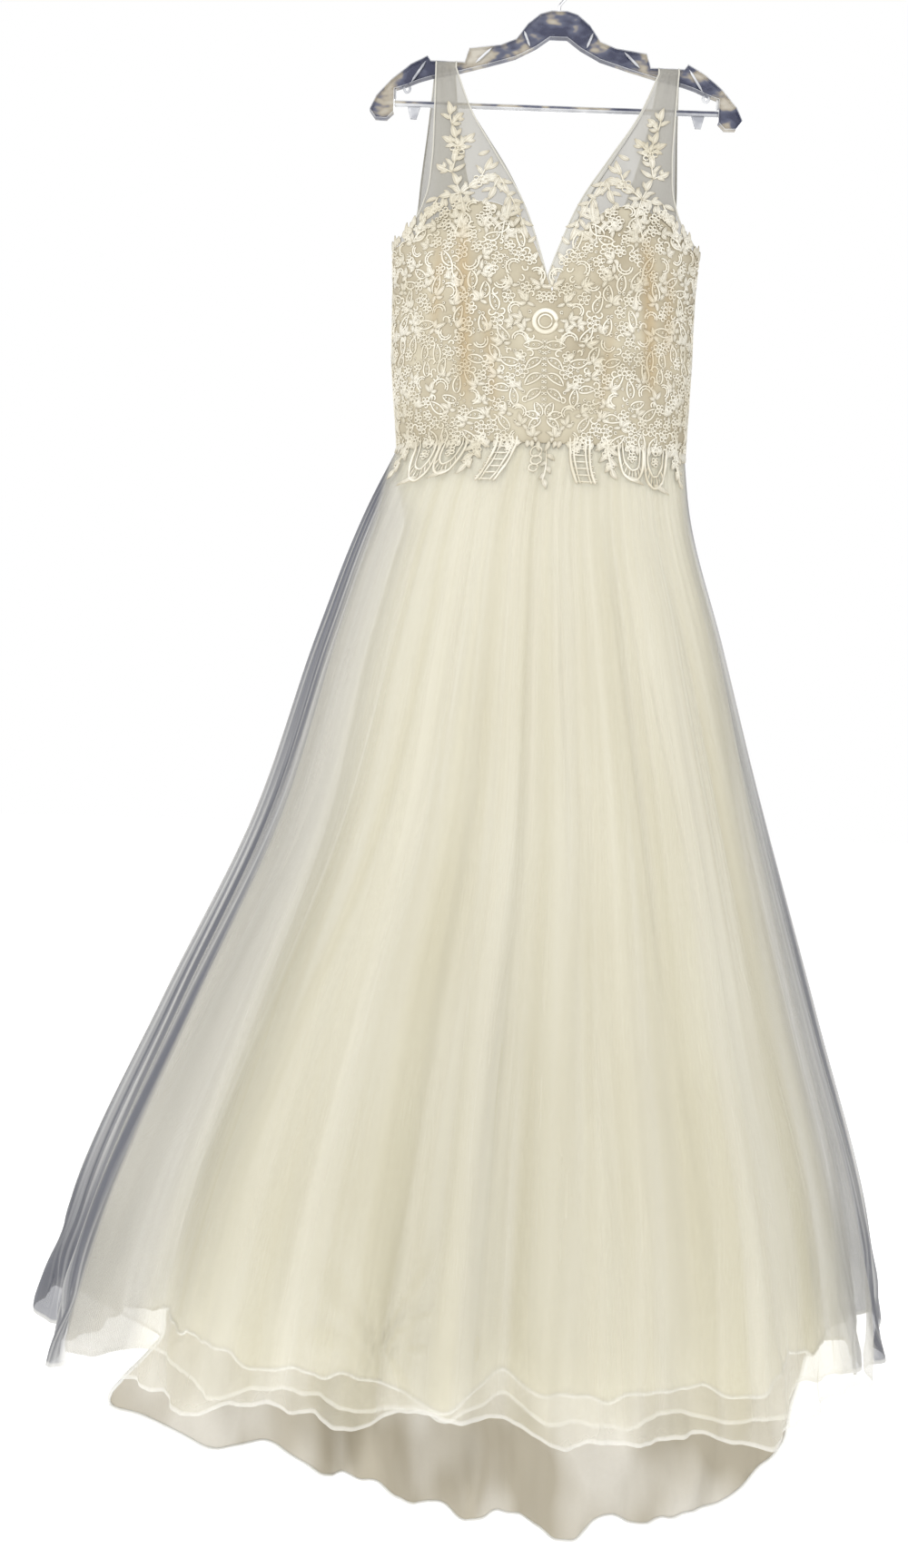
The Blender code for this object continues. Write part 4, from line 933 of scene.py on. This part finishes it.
# One sheer yoke: straight between its foot on the bodice and the strap on the hanger, bowed to
# the armhole at one edge and to the neckline at the other
def yokePoints(side, half, columns=56, rows=80):
    edge, neckline = (sweetheart, frontNeckline) if side < 0 else (backEdge, backNeckline)
    armhole = frontArmhole if side < 0 else backArmhole
    level = -0.33 if side < 0 else -0.36
    rest = dress["armRest"] - 0.0075
    reach = dress["armHalf"] + 0.0015
    across = np.linspace(0, 1, columns)[None]
    rise = np.linspace(0, 1, rows)[:, None] ** 1.25
    climb = rise**0.85
    share = halfShare(half, across)
    footX = bodyPoint(side, share, np.full_like(share, level), False)[..., 0]
    footZ = through(edge, np.abs(footX)) + 0.0006
    footX = bodyPoint(side, share, footZ, False)[..., 0]
    z = footZ + (rest - footZ) * climb
    armBow = through(armhole, dress["sideTop"] + (rest - dress["sideTop"]) * climb)
    armBow = armBow - (armhole[-1][1] + (dress["strapOuter"] - armhole[-1][1]) * rise)
    neckBow = through(neckline, neckline[-1][0] + (rest - neckline[-1][0]) * climb) - dress["strapInner"] * rise
    topX = half * (dress["strapOuter"] + (dress["strapInner"] - dress["strapOuter"]) * across)
    x = footX + (topX - footX) * rise + half * (armBow * (1 - across) + neckBow * across)
    points = bodyPoint(side, shareAt(bodySections, x, z), z, False)
    points[..., 0] = x
    ripple = 0.0007 * np.sin(tau * (3 * across + 0.6 * rise)) * smoothStep(rise / 0.2)
    points[..., 1] += side * ripple
    turn = np.linspace(0, math.pi / 2, 7)[1:]
    over = np.repeat(points[-1:], len(turn), axis=0)
    over[..., 1] = side * (reach * np.cos(turn))[:, None] + side * dress["seamY"]
    over[..., 2] = rest + ((dress["armRest"] + 0.0014 - rest) * np.sin(turn))[:, None]
    return np.concatenate([points, over]), across


def makeYokes():
    paths, outwards = [], []
    for side, half, end, hand in (
        (front, -1, "Front", "Left"), (front, 1, "Front", "Right"),
        (back, -1, "Back", "Left"), (back, 1, "Back", "Right"),
    ):
        points, across = yokePoints(side, half)
        shape = points.shape[:2]
        edgeBand = np.maximum(smoothStep((0.05 - across) / 0.02), smoothStep((across - 0.95) / 0.02))
        values = {word: np.zeros(shape) for word in ("pastLining", "rim", "fold")}
        values |= {"ridge": np.full(shape, 0.6), "hem": np.broadcast_to(edgeBand * 0.4, shape)}
        uv = np.stack([points[..., 0], points[..., 2]], -1)
        quads = gridQuads(shape[0], shape[1], turned=(side < 0) == (half > 0))
        node = "_".join(("yoke", end.lower(), hand.lower()))
        piece = newPiece("yoke" + end + hand, points, quads, materials["yoke"], uv, values, node)
        for column in (0, -1):
            path = points[:, column]
            paths.append(path)
            outwards.append(np.broadcast_to(np.array([0.0, side, 0.2]), path.shape))
    newTubes("yokeBinding", paths, outwards, 0.0009, materials["binding"], sides=8)
    print("yokes made")


laceStrip = {
    "leafAcross": (-1.0, -0.84, -0.58, 0.0, 0.58, 0.84, 1.0),
    "leafLift": (-0.1, 1.0, 0.42, 0.80, 0.42, 1.0, -0.1),
    "cordAcross": (-1.0, -0.6, 0.0, 0.6, 1.0),
    "cordLift": (-0.1, 0.8, 1.0, 0.8, -0.1),
    "cordWidth": 0.0011,
    "height": 0.0015,
}


# Relief strips in the flat: a section carried along each centre line, across its own direction,
# which the half width scales across and the height scales up. Arrays are item by point.
def reliefStrips(line, halfWidth, height, kind):
    across, lift = np.array(laceStrip[kind + "Across"]), np.array(laceStrip[kind + "Lift"])
    along = np.gradient(line, axis=1)
    along /= np.linalg.norm(along, axis=-1, keepdims=True) + 1e-9
    aside = np.stack([-along[..., 1], along[..., 0]], -1)
    flat = line[:, :, None] + aside[:, :, None] * (halfWidth[..., None] * across)[..., None]
    up = np.broadcast_to(height[..., None] * lift, flat.shape[:3])
    points = np.concatenate([flat, up[..., None]], -1)
    items, count, width = points.shape[:3]
    quads = gridQuads(count, width)[None] + (np.arange(items) * count * width)[:, None, None]
    return points.reshape(-1, 3), quads.reshape(-1, 4)


# Lines from start to end that bow to one side as 4t(1 - t), with their sideways directions and t
def bowedLines(starts, ends, bows, steps):
    starts, ends = np.atleast_2d(starts).astype(float), np.atleast_2d(ends).astype(float)
    t = np.linspace(0, 1, steps)
    along = ends - starts
    size = np.linalg.norm(along, axis=-1, keepdims=True) + 1e-9
    aside = np.stack([-along[:, 1], along[:, 0]], -1) / size
    line = starts[:, None] + along[:, None] * t[None, :, None]
    return line + aside[:, None] * (np.reshape(bows, (-1, 1)) * 4 * t * (1 - t))[..., None], aside, t


# Pointed leaves on bowed lines, whose width follows a sine with a long tip
def leafStrips(starts, ends, widths, bows, steps=8):
    line, _, t = bowedLines(starts, ends, bows, steps)
    form = np.sin(math.pi * t**0.8) ** 0.8
    halfWidth = np.reshape(widths, (-1, 1)) / 2 * np.maximum(form, 0.04)
    height = laceStrip["height"] * np.broadcast_to(0.45 + 0.55 * form, halfWidth.shape)
    return reliefStrips(line, halfWidth, height, "leaf")


def cordStrips(line, width=None):  # a round cord along each line
    line = np.asarray(line, float)
    if line.ndim == 2:
        line = line[None]
    width = laceStrip["cordWidth"] if width is None else width
    fade = np.ones(line.shape[1])
    fade[[0, -1]] = 0.5
    halfWidth = np.broadcast_to(width * fade, line.shape[:2])
    return reliefStrips(line, halfWidth, np.broadcast_to(0.0013 * fade, line.shape[:2]), "cord")


def ringLines(middles, radii, steps=11):  # circles as closed lines
    turn = np.linspace(0, tau, steps)
    radii = np.reshape(radii, (-1, 1, 1))
    return np.asarray(middles)[:, None] + radii * aimed(turn)[None]


def ringStrips(middles, radius, steps, width):  # small corded rings, all of one size
    return cordStrips(ringLines(middles, np.full(len(middles), radius), steps), width)


def barStrips(starts, ends, width):  # short straight cords between pairs of points
    starts, ends = np.reshape(starts, (-1, 1, 2)), np.reshape(ends, (-1, 1, 2))
    return cordStrips(starts + (ends - starts) * np.linspace(0, 1, 3)[None, :, None], width)


# Outlined leaves: a cord down each side of a bowed leaf, and small rings down its middle
def outlinedLeaves(starts, ends, widths, bows, steps=9):
    line, aside, t = bowedLines(starts, ends, bows, steps)
    half = np.reshape(widths, (-1, 1)) / 2 * np.sin(math.pi * t**0.85) ** 0.8
    parts = [cordStrips(line + aside[:, None] * (half * way)[..., None], 0.0011) for way in (-1, 1)]
    return parts + [ringStrips(line[:, 2:-2:2].reshape(-1, 2), 0.0011, 6, 0.0007)]


# Flowers: five corded rings round a small one
def flowerStrips(middles, radii, turns):
    middles = np.atleast_2d(middles)
    angle = np.reshape(turns, (-1, 1)) + np.arange(5) * tau / 5
    way = aimed(angle)
    radius = np.reshape(radii, (-1, 1, 1))
    petals = (middles[:, None] + way * radius * 0.62).reshape(-1, 2)
    parts = [cordStrips(ringLines(petals, np.repeat(np.reshape(radii, -1) * 0.33, 5), 8), 0.0009)]
    parts.append(cordStrips(ringLines(middles, np.reshape(radii, -1) * 0.17, 7), 0.0008))
    return parts


# Double arcs: two cords side by side along a curl, with short bars between them
def arcStrips(middles, radii, turns, ways, steps=15):
    t = np.linspace(0, 1, steps)
    angle = np.reshape(turns, (-1, 1)) + np.reshape(ways, (-1, 1)) * t * 3.5
    radius = np.reshape(radii, (-1, 1)) * (1.0 - 0.28 * t)
    aim = aimed(angle)
    middle = np.asarray(middles)[:, None]
    outer, inner = middle + radius[..., None] * aim, middle + (radius * 0.66)[..., None] * aim
    bars = barStrips(inner[:, 2:-2:3], outer[:, 2:-2:3], 0.0007)
    return [cordStrips(outer, 0.0011), cordStrips(inner, 0.0009), bars]


# Scrolls: a line that turns on itself while its radius shrinks evenly
def scrollStrips(middles, radii, turns, ways, steps=13):
    t = np.linspace(0, 1, steps)
    angle = np.reshape(turns, (-1, 1)) + np.reshape(ways, (-1, 1)) * t * 4.6
    radius = np.reshape(radii, (-1, 1)) * (1.0 - 0.68 * t)
    line = np.asarray(middles)[:, None] + radius[..., None] * aimed(angle)
    return cordStrips(line)


# The direction in which the lace grows at a place: up and outwards, swirling round each cup
def growth(x, z):
    swirl = np.arctan2(z + 0.40, np.abs(x) - 0.085)
    return math.pi / 2 - 0.5 * np.sin(2.2 * swirl) + 0.55 * np.sin(38 * x + 21 * z) - 0.25


# Spots no nearer than a distance to each other or to those already there: darts thrown in turn
def spotsApart(random, inside, taken, apart, tries, low, high):
    spots = []
    near = [np.array(one) for one in taken]
    for dart in random.uniform(low, high, (tries, 2)):
        if not inside(dart[0], dart[1]):
            continue
        if near:
            others = np.array([n[:2] for n in near])
            reach = np.array([n[2] for n in near])
            if (np.hypot(*(others - dart).T) < reach + apart).any():
                continue
        near.append(np.array([dart[0], dart[1], apart]))
        spots.append(dart)
    return np.array(spots).reshape(-1, 2), [tuple(n) for n in near]


# Sizes of the all-over lace: how far apart each kind keeps, and how many darts are thrown for it
laceSizes = {
    "arcs": (0.0096, 600), "leaves": (0.0072, 900), "flowers": (0.0060, 1400), "sprigs": (0.0042, 2000),
    "scrolls": (0.0031, 1600), "dots": (0.0016, 1800),
}


# Leaves of a sprig: turn from its way, length, width
sprigLeaves = ((0.0, 0.0145, 0.0058), (0.95, 0.0105, 0.0048), (-0.95, 0.0105, 0.0048), (2.7, 0.0085, 0.0040))


# All-over lace on one half panel: double arcs and outlined leaves first, then ringed flowers and
# sprigs of leaves between them, and scrolls and rings in what is left
def laceField(topEdge, seed, inner, outer, reserved=()):
    random = np.random.default_rng(seed)
    low, high = (inner, dress["waist"] + 0.004), (outer, -0.296)

    def inside(x, z):
        return z < topEdge(x) - 0.004

    def spots(kind, taken):
        apart, tries = laceSizes[kind]
        found, taken = spotsApart(random, inside, taken, apart, tries, low, high)
        return found, len(found), taken

    parts, taken = [], [tuple(one) for one in reserved]
    arcs, count, taken = spots("arcs", taken)
    keep = np.arange(count) % 3 == 0
    ways = random.choice([-1.0, 1.0], keep.sum())
    radii, turns = random.uniform(0.0080, 0.0105, keep.sum()), random.uniform(0, tau, keep.sum())
    parts += arcStrips(arcs[keep], radii, turns, ways)
    taken = [tuple(one) for one in reserved] + [(x, z, 0.0085) for x, z in arcs[keep]]
    leaves, count, taken = spots("leaves", taken)
    keep = np.arange(count) % 2 == 0
    leaves, count = leaves[keep], int(keep.sum())
    taken = taken[: len(taken) - len(keep)] + [(x, z, 0.0066) for x, z in leaves]
    aim = growth(leaves[:, 0], leaves[:, 1]) + random.uniform(-0.9, 0.9, count)
    half = aimed(aim) * random.uniform(0.0088, 0.0115, count)[:, None]
    widths, bows = random.uniform(0.0078, 0.0098, count), random.uniform(-0.002, 0.002, count)
    parts += outlinedLeaves(leaves - half, leaves + half, widths, bows)
    flowers, count, taken = spots("flowers", taken)
    parts += flowerStrips(flowers, random.uniform(0.0062, 0.0080, count), random.uniform(0, tau, count))
    sprigs, count, taken = spots("sprigs", taken)
    way = growth(sprigs[:, 0], sprigs[:, 1]) + random.uniform(-0.5, 0.5, count)
    for turn, size, width in sprigLeaves:
        aim = way + turn
        lengths = size * random.uniform(0.8, 1.2, count)
        ends = sprigs + aimed(aim) * lengths[:, None]
        widths = width * random.uniform(0.85, 1.15, count)
        parts.append(leafStrips(sprigs, ends, widths, random.uniform(-0.0018, 0.0018, count)))
    scrolls, count, taken = spots("scrolls", taken)
    turns, ways = random.uniform(0, tau, count), random.choice([-1.0, 1.0], count)
    parts.append(scrollStrips(scrolls, random.uniform(0.0034, 0.0054, count), turns, ways))
    dots, count, taken = spots("dots", taken)
    parts.append(cordStrips(ringLines(dots, random.uniform(0.0011, 0.0017, count), 7), 0.0007))
    return parts


# Leaves that stand along an edge and point past it
def edgeLeaves(x, z, outward, random, size=0.0125):
    points = np.stack(np.broadcast_arrays(x, z), -1)
    lean = outward + random.uniform(-0.5, 0.5, len(points))
    ends = points + aimed(lean) * size * random.uniform(0.7, 1.25, (len(points), 1))
    return leafStrips(points, ends, 0.0052, random.uniform(-0.0015, 0.0015, len(points)))


def joined(parts):
    points, quads, start = [], [], 0
    for somePoints, someQuads in parts:
        points.append(somePoints)
        quads.append(someQuads + start)
        start += len(somePoints)
    return np.concatenate(points), np.concatenate(quads)


def mirroredParts(parts):
    points, quads = joined(parts)
    other = points * np.array([-1.0, 1.0, 1.0])
    return [(points, quads), (other, quads[:, ::-1])]


# Flat lace laid on the dress: flat x becomes a share, flat z a height, and the relief a clearance,
# which is larger over the yokes' edges
def layLace(name, side, parts, node=None):
    points, quads = joined(parts)
    base = 0.0003 + 0.0006 * smoothStep((points[:, 1] + 0.345) / 0.015)
    spots = lacePoint(side, points[:, 0] / dress["panelWidth"] + 0.5, points[:, 1], points[:, 2] + base)
    shade = shadeAt(spots[:, 0], points[:, 1]) if side < 0 else np.zeros(len(points))
    quads = quads if side > 0 else quads[:, ::-1]
    # The relief's height, which the lace's colour turns into painted light on top and painted shade at the foot
    reliefShade = np.clip(points[:, 2] / laceStrip["height"], 0, 1)
    values = {"shade": shade, "reliefShade": reliefShade}
    piece = newPiece(name, spots, quads, materials["lace"], points[:, :2], values, node)
    print(piece.name, len(quads) * 2, "triangles")


# Drops of lace below the waist: kind, distance from the centre, length, width, sideways curl
laceDrops = (
    ("ladder", 0.040, 0.054, 0.022, 0.012), ("cluster", 0.071, 0.044, 0.030, 0.010),
    ("lobe", 0.098, 0.046, 0.030, 0.004), ("lobe", 0.132, 0.053, 0.031, -0.003),
    ("cluster", 0.164, 0.046, 0.030, 0.008),
)


# A lobe: two cords round a U with bars between them and two flowers inside. A ladder: two pairs of
# cords that curl aside with rungs between them. A cluster: flowers and leaves that slant down.
def dropStrips(kind, distance, length, width, curl):
    top = dress["waist"] + 0.008
    t = np.linspace(0, 1, 22)
    if kind == "lobe":
        acrossU, downU = -np.cos(math.pi * t), -np.sin(math.pi * t) ** 0.62
        outer, inner = (
            np.stack([distance + width / 2 * size * acrossU + curl * np.abs(downU),
                      top + length * (0.15 + 0.85 * size) * downU], -1)
            for size in (1.0, 0.70)
        )
        parts = [cordStrips(outer, 0.0016), cordStrips(inner, 0.0012)]
        parts.append(barStrips(outer[4:-4:2], inner[4:-4:2], 0.0009))
        blooms = [(distance, top - 0.008), (distance + curl * 0.6, top - length * 0.42)]
        parts += flowerStrips(blooms, [0.0074, 0.0058], [0.4 + 20 * distance, 1.0])
        foot = (distance - width * 0.2, top - length * 0.92)
        tip = (distance + width * 0.55, top - length * 1.1)
        parts.append(leafStrips([foot], [tip], 0.005, 0.001))
        return parts
    middle = np.stack([distance + curl * t**2, top - length * t], -1)
    if kind == "ladder":
        half = width * 0.5 * (1 - 0.15 * t)
        left, right = middle.copy(), middle.copy()
        left[:, 0] -= half
        right[:, 0] += half
        inner = np.stack([middle + (left - middle) * 0.60, middle + (right - middle) * 0.60])
        parts = [cordStrips(np.stack([left, right]), 0.0016), cordStrips(inner, 0.0011)]
        rungs = np.linspace(left[5::3], right[5::3], 4).swapaxes(0, 1)
        parts.append(cordStrips(rungs, 0.0010))
        rings = right[4:20:3] + np.array([0.0018, -0.0008])
        parts.append(ringStrips(rings, 0.0016, 7, 0.0008))
        parts += flowerStrips([middle[2], middle[6] - np.array([0.005, 0])], [0.0066, 0.0050], [0.3, 1.1])
        return parts
    feet = middle[[1, 4, 7, 10, 13, 16]]
    aim = np.array([-2.5, -0.7, -2.3, -0.8, -2.0, -1.1]) + 8 * curl
    reach = np.array([0.62, 0.60, 0.55, 0.5, 0.44, 0.5])
    tips = feet + aimed(aim) * width * reach[:, None]
    parts = [leafStrips(feet, tips, np.full(6, 0.0064), np.array([1, -1, 1, -1, 1, -1]) * 0.0012)]
    parts += flowerStrips(middle[[2, 8, 15]], [0.0078, 0.0070, 0.0052], [0.2, 0.8, 1.4])
    parts.append(cordStrips(middle, 0.0010))
    return parts


# The middle drop: loops under each other and a small branch of leaves
def middleDrop():
    top = dress["waist"] + 0.004
    middles = [(-0.006, top - 0.014), (-0.004, top - 0.024), (-0.005, top - 0.033)]
    parts = [cordStrips(ringLines(middles, [0.0062, 0.0055, 0.0045], 14), 0.0010)]
    sway = 0.004 + 0.004 * np.sin(np.linspace(0, 2.4, 12))
    stem = np.stack([sway, np.linspace(top - 0.010, top - 0.050, 12)], -1)
    parts.append(cordStrips(stem, 0.0009))
    feet = stem[[2, 4, 6, 8, 10]]
    aim = np.array([-0.6, -2.4, -0.9, -2.2, -1.2])
    tips = feet + aimed(aim) * np.array([0.012, 0.009, 0.010, 0.009, 0.012])[:, None]
    parts.append(leafStrips(feet, tips, np.full(5, 0.0046), np.full(5, 0.0008)))
    return parts


def frontTop(x):
    return through(sweetheart, np.abs(x) * 0.93)


def backTop(x):
    return through(backEdge, np.abs(x) * 0.93)


# Start and end of each leaf of the spray on a front yoke, as distance from the centre and height
yokeLeaves = (
    (0.112, -0.345, 0.099, -0.312), (0.056, -0.350, 0.047, -0.292), (0.165, -0.340, 0.148, -0.316),
    (0.104, -0.290, 0.099, -0.318), (0.104, -0.290, 0.116, -0.262), (0.116, -0.262, 0.109, -0.230),
    (0.109, -0.230, 0.118, -0.200), (0.118, -0.200, 0.124, -0.170), (0.118, -0.200, 0.104, -0.186),
    (0.109, -0.230, 0.090, -0.212), (0.109, -0.230, 0.130, -0.216), (0.116, -0.262, 0.136, -0.250),
    (0.104, -0.290, 0.082, -0.272), (0.082, -0.272, 0.070, -0.242), (0.082, -0.272, 0.060, -0.268),
    (0.104, -0.290, 0.132, -0.292), (0.060, -0.268, 0.047, -0.292), (0.060, -0.268, 0.073, -0.300),
    (0.047, -0.292, 0.034, -0.318), (0.034, -0.318, 0.024, -0.345), (0.132, -0.292, 0.148, -0.318),
)


spraySpread = 0.885  # distances run along the cloth, which turns back towards the side


# The spray on a front yoke: a stem and a leaf along each row, small leaves either side of its base
def yokeSpray():
    rows = np.array(yokeLeaves) * np.array([spraySpread, 1, spraySpread, 1])
    starts, ends = rows[:, :2], rows[:, 2:]
    along = ends - starts
    size = np.linalg.norm(along, axis=-1)
    aim = np.arctan2(along[:, 1], along[:, 0])
    bows = 0.0016 * np.sin(np.arange(len(rows)) * 2.1)
    parts = [leafStrips(starts + along * 0.38, ends, np.full(len(rows), 0.0070), bows)]
    parts.append(cordStrips(np.linspace(starts, starts + along * 0.5, 5).swapaxes(0, 1), 0.0009))
    for turn, share, reach in ((0.8, 0.05, 0.52), (-0.85, 0.20, 0.46), (0.9, 0.52, 0.36)):
        feet = starts + along * share
        tips = feet + aimed(aim + turn) * (size * reach)[:, None]
        parts.append(leafStrips(feet, tips, np.full(len(rows), 0.0048), np.full(len(rows), 0.0010)))
    blooms = np.array([(0.1095, -0.232), (0.083, -0.274), (0.135, -0.305)]) * np.array([spraySpread, 1])
    parts += flowerStrips(blooms, [0.0092, 0.0080, 0.0070], [0.2, 0.9, 1.3])
    return parts


# The middle of the front, one half: a branch of outlined leaves that slant down and out below the
# open ring, and a star of leaves at its foot
def middleMotif():
    down = np.array([0.475, 0.492, 0.509])
    starts = np.stack([np.full(3, 0.0030), -down], -1)
    ends = starts + np.array([[0.0165, -0.0120], [0.0180, -0.0125], [0.0165, -0.0130]])
    parts = outlinedLeaves(starts, ends, np.full(3, 0.0086), np.full(3, 0.0016))
    aim = np.array([1.15, 0.25, -0.70])
    starts = np.array([[0.0022, -0.5400]]) + 0.0016 * aimed(aim)
    ends = starts + 0.0170 * aimed(aim)
    parts += outlinedLeaves(starts, ends, np.full(3, 0.0080), np.full(3, 0.0006))
    low = np.linspace(-0.456, -0.526, 12)
    parts.append(ringStrips(np.stack([np.full(12, 0.0016), low], -1), 0.0013, 7, 0.0008))
    aside = np.array([[0.0165, -0.4600], [0.0230, -0.4780], [0.0240, -0.5080], [0.0225, -0.5300]])
    reach = np.array([[0.006, 0.012], [0.010, 0.009], [0.011, 0.006], [0.012, 0.003]])
    parts.append(leafStrips(aside, aside + reach, 0.0056, 0.0012))
    middles = [(0.0150, -0.4700), (0.0200, -0.5210)]
    parts.append(scrollStrips(middles, [0.0050, 0.0046], [0.6, 2.2], [1.0, -1.0]))
    return parts


# Circles that the all-over lace leaves to the middle of the front: distance, height, radius
middleKept = (
    (0.000, -0.434, 0.0175), (0.008, -0.480, 0.011), (0.009, -0.500, 0.012),
    (0.009, -0.520, 0.012), (0.006, -0.545, 0.011),
)


def makeLace():
    random = np.random.default_rng(11)
    half = laceField(frontTop, 5, 0.004, 0.207, middleKept) + middleMotif()
    parts = mirroredParts(half)
    parts.append(cordStrips(ringLines([(0.0, -0.434)], [0.0118], 25), 0.0030))
    parts.append(cordStrips(ringLines([(0.0, -0.434)], [0.0072], 17), 0.0012))
    layLace("laceFront", front, parts, "lace_front")

    sprays = yokeSpray()
    for row in laceDrops:
        sprays += dropStrips(*row)
    x = np.linspace(0.036, 0.198, 26)
    sprays.append(edgeLeaves(x, frontTop(x) - 0.003, math.pi / 2, random))
    x = np.linspace(0.006, 0.200, 30)
    sprays.append(edgeLeaves(x, dress["waist"] + 0.003, -math.pi / 2, random, 0.011))
    z = np.linspace(-0.385, -0.240, 9)
    sprays.append(edgeLeaves(through(frontNeckline, z) * 1.06 + 0.004, z, 2.3, random, 0.012))
    sprays = mirroredParts(sprays) + middleDrop()
    layLace("laceSprays", front, sprays)

    for word, sign in (("Left", -1), ("Right", 1)):
        half = laceField(backTop, 8, 0.006, 0.207)
        for row in laceDrops:
            half += dropStrips(*row)
        x = np.linspace(0.010, 0.198, 26)
        half.append(edgeLeaves(x, backTop(x) - 0.003, math.pi / 2, random))
        points, quads = joined(half)
        if sign < 0:
            points, quads = points * np.array([-1.0, 1.0, 1.0]), quads[:, ::-1]
        layLace("laceBack" + word, back, [(points, quads)], "lace_back_" + word.lower())
    print("lace made")


makeSkirt()
makeBodice()
makeYokes()
makeLace()
hangerLooks()
makeHangerParts()
print("hanger made")

studio = {
    "floor": -2.045,
    "worldLight": 0.66,
    "camera": (-0.0917, -2.0, -0.955),
    "turn": 1.95,           # degrees that the view is turned clockwise
    "lens": 39.56,
    "key": ((-1.7, -2.6, 0.9), (0.0, 0.0, -0.9), 1.8, 46.0),
    "fill": ((2.4, -2.2, -0.2), (0.0, 0.0, -1.0), 2.2, 16.0),
    "rim": ((0.6, 2.6, 0.8), (0.0, 0.0, -0.9), 2.0, 26.0),
}


def makeStudio():
    size = 40.0
    corners = np.array([(-size, -size), (size, -size), (size, size), (-size, size)])
    mesh = bpy.data.meshes.new("floor")
    mesh.from_pydata([(x, y, studio["floor"]) for x, y in corners], [], [(0, 1, 2, 3)])
    nodes = Nodes("paleFloor", 0.9, Specular_IOR_Level=0.0, Emission_Strength=0.42)
    patches = nodes.noise(nodes.coordinates(), 1.4)
    pale = nodes.ramp(patches, ((0.3, (0.95, 0.95, 0.95)), (0.7, (0.97, 0.97, 0.97))))
    nodes.link(pale, nodes.shader.inputs["Base Color"])
    nodes.link(pale, nodes.shader.inputs["Emission Color"])
    mesh.materials.append(nodes.material)
    floor = bpy.data.objects.new("floor", mesh)
    bpy.context.scene.collection.objects.link(floor)

    world = bpy.data.worlds.new("studio")
    bpy.context.scene.world = world
    world.use_nodes = True
    tree = world.node_tree
    plain = tree.nodes["Background"]
    plain.inputs["Color"].default_value = (1.0, 1.0, 1.0, 1.0)
    plain.inputs["Strength"].default_value = studio["worldLight"]
    seen = tree.nodes.new("ShaderNodeBackground")
    seen.inputs["Color"].default_value = (1.0, 1.0, 1.0, 1.0)
    seen.inputs["Strength"].default_value = 1.0
    rays = tree.nodes.new("ShaderNodeLightPath")
    both = tree.nodes.new("ShaderNodeMixShader")
    tree.links.new(rays.outputs["Is Camera Ray"], both.inputs[0])
    tree.links.new(plain.outputs[0], both.inputs[1])
    tree.links.new(seen.outputs[0], both.inputs[2])
    tree.links.new(both.outputs[0], tree.nodes["World Output"].inputs[0])

    for word in ("key", "fill", "rim"):
        spot, target, width, power = studio[word]
        light = bpy.data.lights.new(word, "AREA")
        light.size, light.energy = width, power
        lamp = bpy.data.objects.new(word, light)
        lamp.location = spot
        lamp.rotation_euler = (Vector(target) - Vector(spot)).to_track_quat("-Z", "Y").to_euler()
        bpy.context.scene.collection.objects.link(lamp)

    camera = bpy.data.objects.new("camera", bpy.data.cameras.new("camera"))
    camera.data.lens = studio["lens"]
    turned = Matrix.Rotation(math.radians(90), 4, "X") @ Matrix.Rotation(math.radians(studio["turn"]), 4, "Z")
    camera.matrix_world = Matrix.Translation(studio["camera"]) @ turned
    bpy.context.scene.collection.objects.link(camera)
    bpy.context.scene.camera = camera
    bpy.context.scene.view_settings.view_transform = "Standard"
    bpy.context.scene.cycles.transparent_max_bounces = 20
    bpy.context.scene.cycles.diffuse_bounces = 2


makeStudio()
print("studio made")
